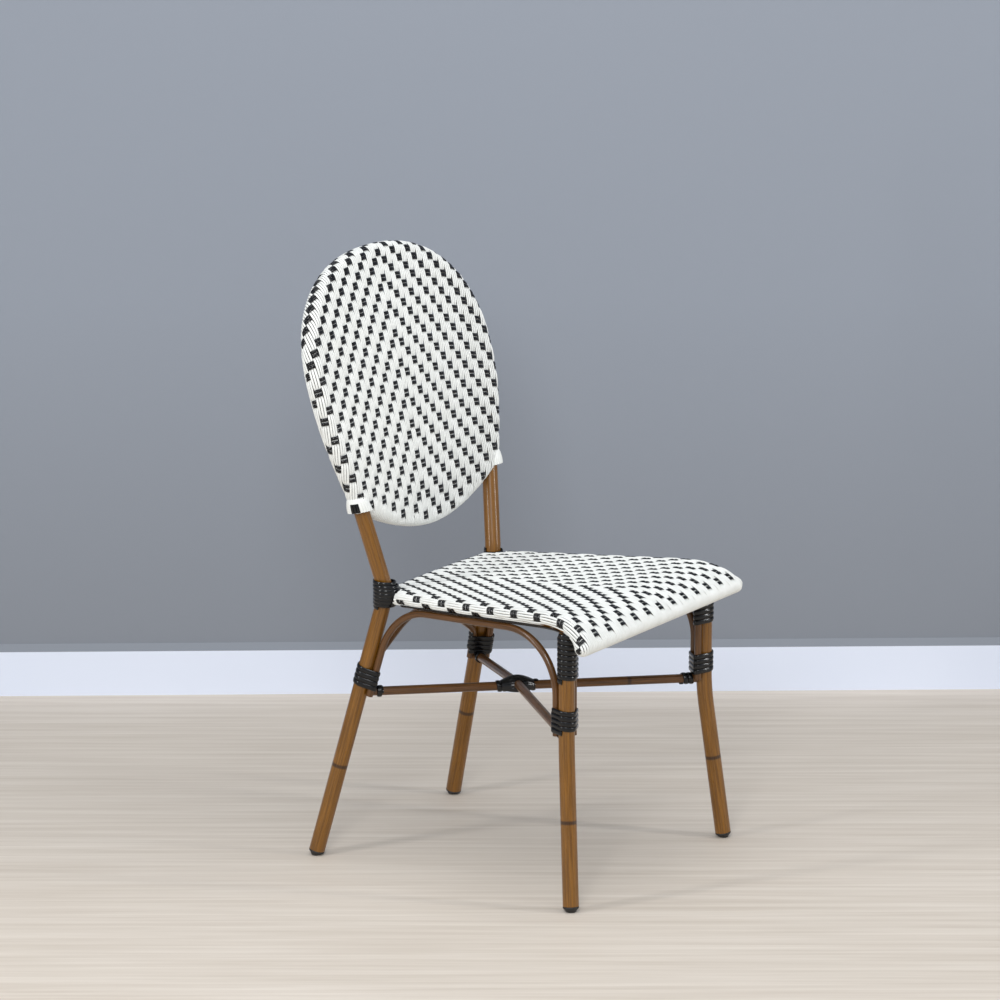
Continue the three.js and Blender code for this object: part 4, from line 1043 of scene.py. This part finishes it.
class CHAIR_OT_glides(bpy.types.Operator):
    """Moulded feet under the legs"""
    bl_idname = "chair.glides"
    bl_label = "Foot glides"

    def execute(self, context):
        rubber = shared("rubber", moulded_rubber, "black_moulded_rubber")
        ends = (("front", FRONT_ROUTE, FRONT_FOOT), ("rear", REAR_ROUTE, REAR_FOOT))
        for end, route, foot in ends:
            for side, sign in SIDES.items():
                down = np.array(foot) - route[-1]
                down = mirrored(sign, down / np.linalg.norm(down))
                turn = Vector((0, 0, 1)).rotation_difference(Vector(-down)).to_matrix().to_4x4()
                bm = bmesh.new()
                verts = [bm.verts.new((r * MM, 0, h * MM)) for r, h in GLIDE_PROFILE]
                edges = [bm.edges.new(pair) for pair in zip(verts, verts[1:])]
                bmesh.ops.spin(bm, geom=verts + edges, cent=(0, 0, 0), axis=(0, 0, 1),
                               angle=2 * math.pi, steps=GLIDE_STEPS)
                bmesh.ops.remove_doubles(bm, verts=bm.verts, dist=MERGE)
                bmesh.ops.contextual_create(bm, geom=[e for e in bm.edges if e.is_boundary])
                tip = mirrored(sign, route[-1])
                bm.transform(Matrix.Translation(metres(tip)) @ turn)
                for vert in bm.verts:
                    vert.co.z = max(vert.co.z, 0)
                bmesh.ops.recalc_face_normals(bm, faces=bm.faces)
                for face in bm.faces:
                    face.smooth = True
                mesh = bpy.data.meshes.new(f"foot_glide_{end}_{side}_rubber")
                bm.to_mesh(mesh)
                bm.free()
                mesh.materials.append(rubber)
                piece = bpy.data.objects.new(mesh.name, mesh)
                context.scene.collection.objects.link(piece)
                fitted(piece, "glide", f"foot_glide_{end}_{side}")
        return {"FINISHED"}


class CHAIR_OT_leg_bindings(bpy.types.Operator):
    """Strand that binds the arches to the legs"""
    bl_idname = "chair.leg_bindings"
    bl_label = "Leg bindings"

    def execute(self, context):
        clear = binding_clear(context.scene.chair_settings)
        origin = np.array((FRONT_LEG[0][0], FRONT_LEG[0][1], 0.0))

        def front(*arches):
            def circles(height):
                x, y = (at_height(FRONT_ROUTE, height) - origin)[:2]
                return [(x, y, LEG_RADIUS)] + [(x + a, y + b, ARCH_RADIUS) for a, b in arches]
            return circles

        for side, sign in SIDES.items():
            top = wound(origin, UP, (1, 0, 0), front((-BESIDE, 0)),
                        *FRONT_TOP_BINDING, BINDING_PITCH, clear)
            strand_piece(f"front_leg_binding_{side}_strand", [side_route(sign, top)],
                         f"front_leg_binding_{side}")
            low = wound(origin, UP, (1, 0, 0), front((-BESIDE, 0), (0, BESIDE)),
                        *FRONT_LOW_BINDING, BINDING_PITCH, clear)
            strand_piece(f"low_binding_front_{side}_strand", [side_route(sign, low)],
                         f"low_binding_front_{side}")
            self.rear(side, sign, clear)
        return {"FINISHED"}

    def rear(self, side, sign, clear):
        """The low binding of a rear leg, round the leg and the feet of two arches."""
        base = rear_leg(REAR_LOW[side])
        arch = mirrored(sign, rear_arch())
        if side == "right":
            arch = arch[::-1]
        rise = -REAR_DOWN
        second = np.cross(rise, REAR_INWARD)
        forward = math.copysign(1, second @ REAR_FORWARD)

        def circles(climb):
            above = (arch - base) @ rise - climb
            k = max(1, int(np.argmax(above >= 0)))
            share = above[k - 1] / (above[k - 1] - above[k])
            away = arch[k - 1] + (arch[k] - arch[k - 1]) * share - base
            return [(0, 0, LEG_RADIUS), (away @ REAR_INWARD, away @ second, ARCH_RADIUS),
                    (0, forward * BESIDE, ARCH_RADIUS)]

        low = wound(base, rise, REAR_INWARD, circles, *REAR_LOW_BINDING, BINDING_PITCH,
                    clear)
        strand_piece(f"low_binding_rear_{side}_strand", [side_route(sign, low)],
                     f"low_binding_rear_{side}")


# Each ball's top and how far it bulges, and what both have alike
BALLS = {"left": (436.0, 1.8), "right": (453.0, 8.2)}
BALL_FOOT = 411.0
BALL_SHIFT = 3.6
BALL_SUNK = 1.0
BALL_END = 1.5
BALL_ROUND = 0.65
BALL_PITCH = 5.6
BALL_CLEAR = 0.8


class CHAIR_OT_seat_bindings(bpy.types.Operator):
    """Balls of strand where the seat meets the rear legs"""
    bl_idname = "chair.seat_bindings"
    bl_label = "Seat bindings"

    def execute(self, context):
        for side, (high, bulge) in BALLS.items():
            sign = SIDES[side]
            middle = (BALL_FOOT + high) / 2
            reach = (high - BALL_FOOT) / 2 + BALL_END

            def circles(height):
                x, y, _ = at_height(REAR_ROUTE, height)
                share = max(0.0, 1 - ((height - middle) / reach) ** 2) ** BALL_ROUND
                return [(x, y - BALL_SHIFT * share, LEG_RADIUS - BALL_SUNK + bulge * share),
                        (x, y, LEG_RADIUS)]

            ball = wound((0, 0, 0), UP, (1, 0, 0), circles, BALL_FOOT,
                         (high - BALL_FOOT) / BALL_PITCH, BALL_PITCH, BALL_CLEAR)
            strand_piece(f"seat_binding_{side}_strand",
                         [side_route(sign, ball)], f"seat_binding_{side}")
        return {"FINISHED"}


# Each end's coil, as where it starts along the stretcher, its turns and its pitch
STRETCHER_COILS = {"rear_left": (27.0, 1.3, 4.0), "front_right": (17.0, 2.6, BINDING_PITCH),
                   "rear_right": (30.0, 1.3, 2.5), "front_left": (17.0, 2.6, BINDING_PITCH)}
# The crossing: the coils on the lower stretcher, and the strands laid over both stretchers
CROSSING_COILS = (-31.0, 14.0)
CROSSING_TURNS = 2.1
CROSSING_AROUND = (-78, -52, -26, 0, 26, 52, 78, 104)
CROSSING_STEPS = 25
CROSSING_HALF = 25.0
CROSSING_BULGE = 7.6
CROSSING_LEAN = 0.5


def round_stretcher(climb):
    """The one tube that a coil on a stretcher goes round."""
    return [(0, 0, STRETCHER_RADIUS)]


class CHAIR_OT_stretcher_bindings(bpy.types.Operator):
    """Strand at the ends of the stretchers and over their crossing"""
    bl_idname = "chair.stretcher_bindings"
    bl_label = "Stretcher bindings"

    def execute(self, context):
        clear = binding_clear(context.scene.chair_settings)
        upper = upper_stretcher()
        ends = {"rear_left": (upper[0], upper[1]), "front_right": (upper[-1], upper[-2]),
                "rear_right": LOWER_ENDS, "front_left": LOWER_ENDS[::-1]}
        for name, (start, to) in ends.items():
            axis = np.array(to) - np.array(start)
            coil = wound(start, axis, UP, round_stretcher, *STRETCHER_COILS[name], clear)
            strand_piece(f"stretcher_binding_{name}_strand", [coil], f"stretcher_binding_{name}")
        strand_piece("stretcher_crossing_strand", self.crossing(clear), "stretcher_crossing_binding")
        return {"FINISHED"}

    def crossing(self, clear):
        """Two coils on the lower stretcher, and strands that bow over the upper one."""
        axis = np.array(LOWER_ENDS[1]) - np.array(LOWER_ENDS[0])
        axis /= np.linalg.norm(axis)
        across = np.cross(axis, UP)
        across /= np.linalg.norm(across)
        routes = [wound(CROSSING, axis, UP, round_stretcher, start, CROSSING_TURNS,
                        BINDING_PITCH, clear) for start in CROSSING_COILS]
        for around in np.radians(CROSSING_AROUND):
            points, outward = [], []
            for t in np.linspace(-1, 1, CROSSING_STEPS):
                bow = math.cos(math.pi * t / 2)
                radius = STRETCHER_RADIUS + clear + CROSSING_BULGE * bow
                away = across * math.sin(around) + UP * math.cos(around)
                points.append(np.array(CROSSING) + axis * CROSSING_HALF * t + away * radius)
                outward.append(away + axis * CROSSING_LEAN * t)
            routes.append((np.array(points), np.array(outward), NO_RING))
        return routes


STEPS_A_CELL = 3
WOVEN_SIDES = 6
# Share of a cell that the strands of a bundle fill
WHITE_FILL = 0.99
BLACK_FILL = 0.86
# How far the white strands wrap a rim, how much further than it shows black goes, and the room
# that both leave round the rear legs
WRAP = math.radians(300)
BLACK_MARGIN = 0.7
LEG_ROOM = 21.0
# How far round a rim black shows, first where the rim is the low or front one and then elsewhere;
# a way whose second part is below TOWARD_LOW leads to the low or front rim
BACK_BLACK_LIMITS = (0.15, 2.2)
SEAT_BLACK_LIMITS = (-0.5, 2.4)
TOWARD_LOW = -0.5
BACK_BLACK_ROWS = (-5, 30)
BACK_SLOPE = 1.0
SEAT_COLUMNS = 24
SEAT_ROWS = (-6, 31)
SEAT_BLACK_ROWS = (-1, 27)
SEAT_SLOPE = -1.0


def weave(context, name, place, columns, rows, slope, black_rows, limits, allowed, nodes):
    """White strands down the columns and black strands along the rows of one woven face.

    Black shows up to limits round a rim, and strands lie only where allowed says so.
    """
    values = context.scene.chair_settings
    tree = shared("weave", weave_tree, section())
    span = (-columns, columns)

    def limit(way):
        return np.where(way[:, 1] < TOWARD_LOW, *limits)

    def white(spots, angle, way):
        return (angle < WRAP) & allowed(spots)

    def black(spots, angle, way):
        return (angle < limit(way) + BLACK_MARGIN) & allowed(spots)

    def plain(angle, way):
        return (angle > limit(way)) & (angle > 0)

    white_run = (0.0, white, span, rows, values.column_strands, WHITE_FILL, values.white_width)
    black_run = (1.0, black, black_rows, span, values.row_strands, BLACK_FILL, values.black_width)
    pieces = []
    for tone, run in (("white", white_run), ("black", black_run)):
        crosswise, keep, bundles, (start, end), size, fill, width = run
        under = carrier(f"{name}_{tone}_carrier", place, columns, rows, keep, plain)
        piece = grown(f"{name}_{tone}", bpy.data.meshes.new(f"{name}_{tone}_start"), tree, {
            "Carrier": under, "Bundles": bundles[1] - bundles[0] + 1, "Bundle size": size,
            "First bundle": float(bundles[0]), "Strand spacing": fill / size,
            "Steps": (end - start) * STEPS_A_CELL + 1, "First step": float(start),
            "Step": 1 / STEPS_A_CELL, "Crosswise": crosswise, "Slope": slope,
            "Lift": values.weave_lift, "Width": width, "Thickness": values.weave_thickness,
            "Sides": WOVEN_SIDES,
            "Material": strand_finish(BLACK if tone == "black" else tone)})
        bpy.data.objects.remove(under)
        pieces.append(piece)
    fitted(pieces[0], "weave", *nodes)
    fitted(pieces[1], BLACK)


def anywhere(spots):
    """All spots: the back's weave has nothing to leave room for."""
    return np.ones(len(spots), bool)


def clear_of_rear_legs(spots):
    """Which spots lie outside the room round both rear legs."""
    good = np.ones(len(spots), bool)
    for sign in SIDES.values():
        leg = mirrored(sign, REAR_ROUTE)
        for a, b in zip(leg, leg[1:]):
            run = b - a
            share = np.clip(((spots - a) @ run) / (run @ run), 0, 1)
            gap = np.linalg.norm(spots - a - share[:, None] * run, axis=1)
            good &= gap > LEG_ROOM
    return good


class CHAIR_OT_back_weave(bpy.types.Operator):
    """Woven oval back"""
    bl_idname = "chair.back_weave"
    bl_label = "Back weave"

    def execute(self, context):
        weave(context, "back_weave", back_carrier, BACK_COLUMNS, BACK_ROWS, BACK_SLOPE,
              BACK_BLACK_ROWS, BACK_BLACK_LIMITS, anywhere, ("back_weave", "back_rim_weave"))
        return {"FINISHED"}


class CHAIR_OT_seat_weave(bpy.types.Operator):
    """Woven seat"""
    bl_idname = "chair.seat_weave"
    bl_label = "Seat weave"

    def execute(self, context):
        weave(context, "seat_weave", seat_carrier, SEAT_COLUMNS, SEAT_ROWS, SEAT_SLOPE,
              SEAT_BLACK_ROWS, SEAT_BLACK_LIMITS, clear_of_rear_legs,
              ("seat_weave", "seat_rim_weave"))
        return {"FINISHED"}


TAB_FOOT = 136.0
TAB_HEIGHT = 22.0
TAB_RADIUS = 18.8
TAB_SHIFT = 3.6
TAB_STRANDS = 24
TAB_BLACK = (0, 1, 2, 11, 12, 13)
TAB_CELL = 14.5
TAB_TAPER = 5.0
TAB_STRAND_WIDTH = 5.0
TAB_BLACK_LIFT = 0.3
TAB_SIDES = 8
TAB_STEPS = 7


class CHAIR_OT_tabs(bpy.types.Operator):
    """Collars of strand where the back's weave ends on the uprights"""
    bl_idname = "chair.tabs"
    bl_label = "Tabs"

    def execute(self, context):
        values = context.scene.chair_settings
        routes = {"white": [], BLACK: []}
        for sign in SIDES.values():
            for k in range(TAB_STRANDS):
                split = TAB_CELL if k in TAB_BLACK else 0.0
                for tone, low, high, lift in ((BLACK, 0.0, split, TAB_BLACK_LIFT),
                                              ("white", split, TAB_HEIGHT, 0.0)):
                    if high > low:
                        route = self.strand(k, TAB_FOOT + low, TAB_FOOT + high, lift)
                        routes[tone].append(side_route(sign, route))
        for tone, slot_name in (("white", "weave"), (BLACK, BLACK)):
            name = f"back_tabs_{slot_name}"
            piece = grown(name, route_mesh(name + "_route", routes[tone]), section(), {
                "Width": TAB_STRAND_WIDTH * MM, "Thickness": values.weave_thickness,
                "Sides": TAB_SIDES, "Material": strand_finish(tone)})
            fitted(piece, slot_name)
        return {"FINISHED"}

    def strand(self, k, low, high, lift):
        """The left tab's strand number k between two rises."""
        angle = 2 * math.pi * k / TAB_STRANDS
        rises = np.linspace(low, high, TAB_STEPS)
        radius = TAB_RADIUS + lift - TAB_TAPER * ((rises - TAB_FOOT) / TAB_HEIGHT) ** 2
        middle = CRANK_SPAN + UPRIGHT_SPLAY * rises + TAB_SHIFT
        inner = back_spot(middle, rises, np.zeros(TAB_STEPS))
        outer = back_spot(middle + radius * math.cos(angle), rises, radius * math.sin(angle))
        out = outer - inner
        return outer, out / np.linalg.norm(out, axis=1)[:, None], NO_RING


# Where the seat's edge strand lies round the side rail, and its ends along the rail. It is a black
# strand put there as painted shade, for the dark shadow line under the seat's rolled edge
EDGE_ANGLE = math.radians(146)
EDGE_START = 34.0
EDGE_STOP = 30.0
EDGE_STEPS = 60
EDGE_INSET = 1.2


class CHAIR_OT_seat_edges(bpy.types.Operator):
    """Black strands that run under the seat's side rails, as painted shade for the shadow line under
    the rolled edge
    """
    bl_idname = "chair.seat_edges"
    bl_label = "Seat edge strands"

    def execute(self, context):
        edge = seat_edge(np.linspace(EDGE_START, SEAT_REACH - EDGE_STOP, EDGE_STEPS))
        run = np.gradient(edge, axis=0) * (0, 1, 1)
        run /= np.linalg.norm(run, axis=1)[:, None]
        up = np.stack([np.zeros(len(run)), run[:, 2], -run[:, 1]], 1)
        out = np.array((1.0, 0, 0)) * math.sin(EDGE_ANGLE) + up * math.cos(EDGE_ANGLE)
        route = (edge + out * (SIDE_RIM - EDGE_INSET), out, NO_RING)
        # a black strand under each side rail, as painted shade for the shadow line under the rolled
        # edge
        strand_piece("seat_edge_strand", [side_route(sign, route) for sign in SIDES.values()])
        return {"FINISHED"}


# The studio, in metres; the camera was solved from the lines of the photograph
CAMERA_PLACE = (-7.0496, -4.4866, 2.6072)
CAMERA_AIM = (0.81822, 0.52369, -0.23723)
CAMERA_LENS = 198.44
CAMERA_SHIFT = 0.0013
CAMERA_SENSOR = 36.0
CAMERA_SEES = 100.0
WALL_BEHIND = 0.917
WALL_HEIGHT = 5.0
SKIRTING_HEIGHT = 0.079
WALL_TURN = math.radians(1.5)
SKIRTING_DEPTH = 0.012
CAP_HEIGHT = 0.0905
ROOM_REACH = 12.0
# Each lamp's place, width and height, and power
LAMPS = {"key": ((-3.2, -1.6, 2.5), (1.0, 1.0), 54),
         "left_strip": ((-2.2, 1.0, 1.4), (0.12, 1.8), 18),
         "right_strip": ((0.9, -3.0, 1.5), (0.12, 1.8), 28),
         "top": ((-0.3, -0.3, 3.0), (2.0, 2.0), 26)}
LAMP_AIM = (0, 0, 0.5)
WORLD_STRENGTH = 0.62


def seen_from_front(tree, shader):
    """Leaves the face out for a camera behind it, so that the chair can be seen from any side."""
    behind = add(tree, "ShaderNodeNewGeometry")
    ray = add(tree, "ShaderNodeLightPath")
    hides = add(tree, "ShaderNodeMath", {
        0: behind.outputs["Backfacing"], 1: ray.outputs["Is Camera Ray"]}, operation="MULTIPLY")
    clear = add(tree, "ShaderNodeBsdfTransparent")
    mix = add(tree, "ShaderNodeMixShader", {0: hides, 1: shader.outputs[0], 2: clear})
    feed(tree, tree.nodes["Material Output"], {"Surface": mix})


def painted_wall(name, colour):
    """Rolled emulsion paint: an even matt grey, with painted shade that darkens it toward the floor.
    """
    material, tree, shader = new_material(name)
    place = add(tree, "ShaderNodeTexCoord")
    parts = add(tree, "ShaderNodeSeparateXYZ", {"Vector": place.outputs["Object"]})
    # painted shade: the grey is darker toward the floor, from #80858D at the floor to the wall's own
    # colour 0.7 m up
    height = add(tree, "ShaderNodeMapRange", {
        "Value": parts.outputs["Z"], "From Min": 0.0, "From Max": 0.7})
    tone = add(tree, "ShaderNodeMix", {
        "Factor": height, 6: linear("#80858D"), 7: colour}, data_type="RGBA")
    stipple = add(tree, "ShaderNodeTexNoise", {
        "Vector": place.outputs["Object"], "Scale": 350.0, "Detail": 2.0})
    bump = add(tree, "ShaderNodeBump", {"Strength": 0.15, "Distance": 0.0005, "Height": stipple})
    feed(tree, shader, {"Base Color": tone, "Normal": bump, "Roughness": 0.85})
    seen_from_front(tree, shader)
    return material


def pale_boards(name, colour):
    """Pale limed boards: faint long grain on a matt floor."""
    material, tree, shader = new_material(name)
    place = add(tree, "ShaderNodeTexCoord")
    # the grain runs along the wall, about 16 mm wide and 500 mm long: finer grain is lost at this
    # distance
    turned = add(tree, "ShaderNodeMapping", {
        "Vector": place.outputs["Object"], "Rotation": (0, 0, math.radians(122.6)),
        "Scale": (0.5, 0.016, 1.0)}, vector_type="TEXTURE")
    grain = add(tree, "ShaderNodeTexNoise", {
        "Vector": turned, "Scale": 1.0, "Detail": 5.0, "Roughness": 0.6})
    tone = add(tree, "ShaderNodeMapRange", {"Value": grain, "From Min": 0.3, "From Max": 0.7})
    mixed = add(tree, "ShaderNodeMix", {
        "Factor": tone, 6: linear("#C9BEB0"), 7: colour}, data_type="RGBA")
    feed(tree, shader, {"Base Color": mixed, "Roughness": 0.6})
    seen_from_front(tree, shader)
    return material


def gloss_paint(name):
    """White gloss paint brushed on a skirting board: clean, a little bluish, with soft lights."""
    material, tree, shader = new_material(name)
    place = add(tree, "ShaderNodeTexCoord")
    cloud = add(tree, "ShaderNodeTexNoise", {"Vector": place.outputs["Object"], "Scale": 3.0})
    mixed = add(tree, "ShaderNodeMix", {
        "Factor": cloud, 6: linear("#D8E0F0"), 7: linear("#DEE5F3")}, data_type="RGBA")
    feed(tree, shader, {"Base Color": mixed, "Roughness": 0.4})
    seen_from_front(tree, shader)
    return material


class CHAIR_OT_stage(bpy.types.Operator):
    """Floor, wall, lamps and camera"""
    bl_idname = "chair.stage"
    bl_label = "Stage"

    def execute(self, context):
        values = context.scene.chair_settings
        aim = Vector((CAMERA_AIM[0], CAMERA_AIM[1], 0)).normalized()
        aside = Matrix.Rotation(WALL_TURN, 3, "Z") @ Vector((-aim.y, aim.x, 0)) * ROOM_REACH
        foot = aim * WALL_BEHIND
        board = aim * (WALL_BEHIND - SKIRTING_DEPTH)
        rise = Vector((0, 0, SKIRTING_HEIGHT))
        lift = Vector((0, 0, CAP_HEIGHT))
        top = Vector((0, 0, WALL_HEIGHT))
        self.panel(context, "floor", pale_boards("limed_boards", tuple(values.floor_colour)),
                   [-aim * ROOM_REACH + aside, -aim * ROOM_REACH - aside, foot - aside,
                    foot + aside])
        self.panel(context, "wall", painted_wall("rolled_emulsion", tuple(values.wall_colour)),
                   [foot + aside, foot - aside, foot - aside + top, foot + aside + top])
        self.panel(context, "skirting", gloss_paint("white_gloss_paint"),
                   [board + aside, board - aside, board - aside + rise, board + aside + rise])
        # the cap is a paler grey emulsion, and through painted_wall it takes the same painted shade
        # toward the floor
        self.panel(context, "skirting_cap", painted_wall("dusty_emulsion", linear("#9EA5AD")),
                   [board + aside + rise, board - aside + rise, foot - aside + lift,
                    foot + aside + lift])
        self.world(context)
        for name, (place, size, power) in LAMPS.items():
            lamp = bpy.data.lights.new(name, "AREA")
            lamp.shape = "RECTANGLE"
            lamp.size, lamp.size_y = size
            lamp.energy = power
            holder = bpy.data.objects.new(name, lamp)
            holder.location = place
            toward = Vector(LAMP_AIM) - Vector(place)
            holder.rotation_euler = toward.to_track_quat("-Z", "Y").to_euler()
            context.scene.collection.objects.link(holder)
        camera = bpy.data.cameras.new("camera")
        camera.lens = CAMERA_LENS
        camera.sensor_width = CAMERA_SENSOR
        camera.shift_x = CAMERA_SHIFT
        camera.clip_end = CAMERA_SEES
        eye = bpy.data.objects.new("camera", camera)
        eye.location = CAMERA_PLACE
        eye.rotation_euler = Vector(CAMERA_AIM).to_track_quat("-Z", "Y").to_euler()
        context.scene.collection.objects.link(eye)
        context.scene.camera = eye
        context.scene.view_settings.view_transform = "Standard"
        return {"FINISHED"}

    def panel(self, context, name, material, corners):
        """One flat quad of the stage."""
        mesh = bpy.data.meshes.new(name)
        mesh.from_pydata(corners, [], [(0, 1, 2, 3)])
        mesh.materials.append(material)
        panel = bpy.data.objects.new(name, mesh)
        context.scene.collection.objects.link(panel)

    def world(self, context):
        """The even light of the studio."""
        world = bpy.data.worlds.new("studio")
        world.use_nodes = True
        context.scene.world = world
        tree = world.node_tree
        tree.nodes.clear()
        light = add(tree, "ShaderNodeBackground", {
            "Color": linear("#F1F4FA"), "Strength": WORLD_STRENGTH})
        add(tree, "ShaderNodeOutputWorld", {"Surface": light})


OPERATORS = (
    CHAIR_OT_stage, CHAIR_OT_legs, CHAIR_OT_arches, CHAIR_OT_stretchers, CHAIR_OT_hidden_rails,
    CHAIR_OT_glides, CHAIR_OT_back_weave, CHAIR_OT_seat_weave, CHAIR_OT_tabs,
    CHAIR_OT_seat_edges, CHAIR_OT_leg_bindings,
    CHAIR_OT_seat_bindings, CHAIR_OT_stretcher_bindings)


class CHAIR_PT_panel(bpy.types.Panel):
    """Sizes, colours and pieces of the chair"""
    bl_label = "Woven chair"
    bl_idname = "CHAIR_PT_panel"
    bl_space_type = "VIEW_3D"
    bl_region_type = "UI"
    bl_category = "Chair"

    def draw(self, context):
        for name in ChairSettings.__annotations__:
            self.layout.prop(context.scene.chair_settings, name)
        for operator in OPERATORS:
            self.layout.operator(operator.bl_idname)


def register():
    for kind in (ChairSettings, *OPERATORS, CHAIR_PT_panel):
        bpy.utils.register_class(kind)
    bpy.types.Scene.chair_settings = PointerProperty(type=ChairSettings)


def unregister():
    del bpy.types.Scene.chair_settings
    for kind in (CHAIR_PT_panel, *reversed(OPERATORS), ChairSettings):
        bpy.utils.unregister_class(kind)


def main():
    register()
    for operator in OPERATORS:
        group, name = operator.bl_idname.split(".")
        getattr(getattr(bpy.ops, group), name)()


if __name__ == "__main__":
    main()
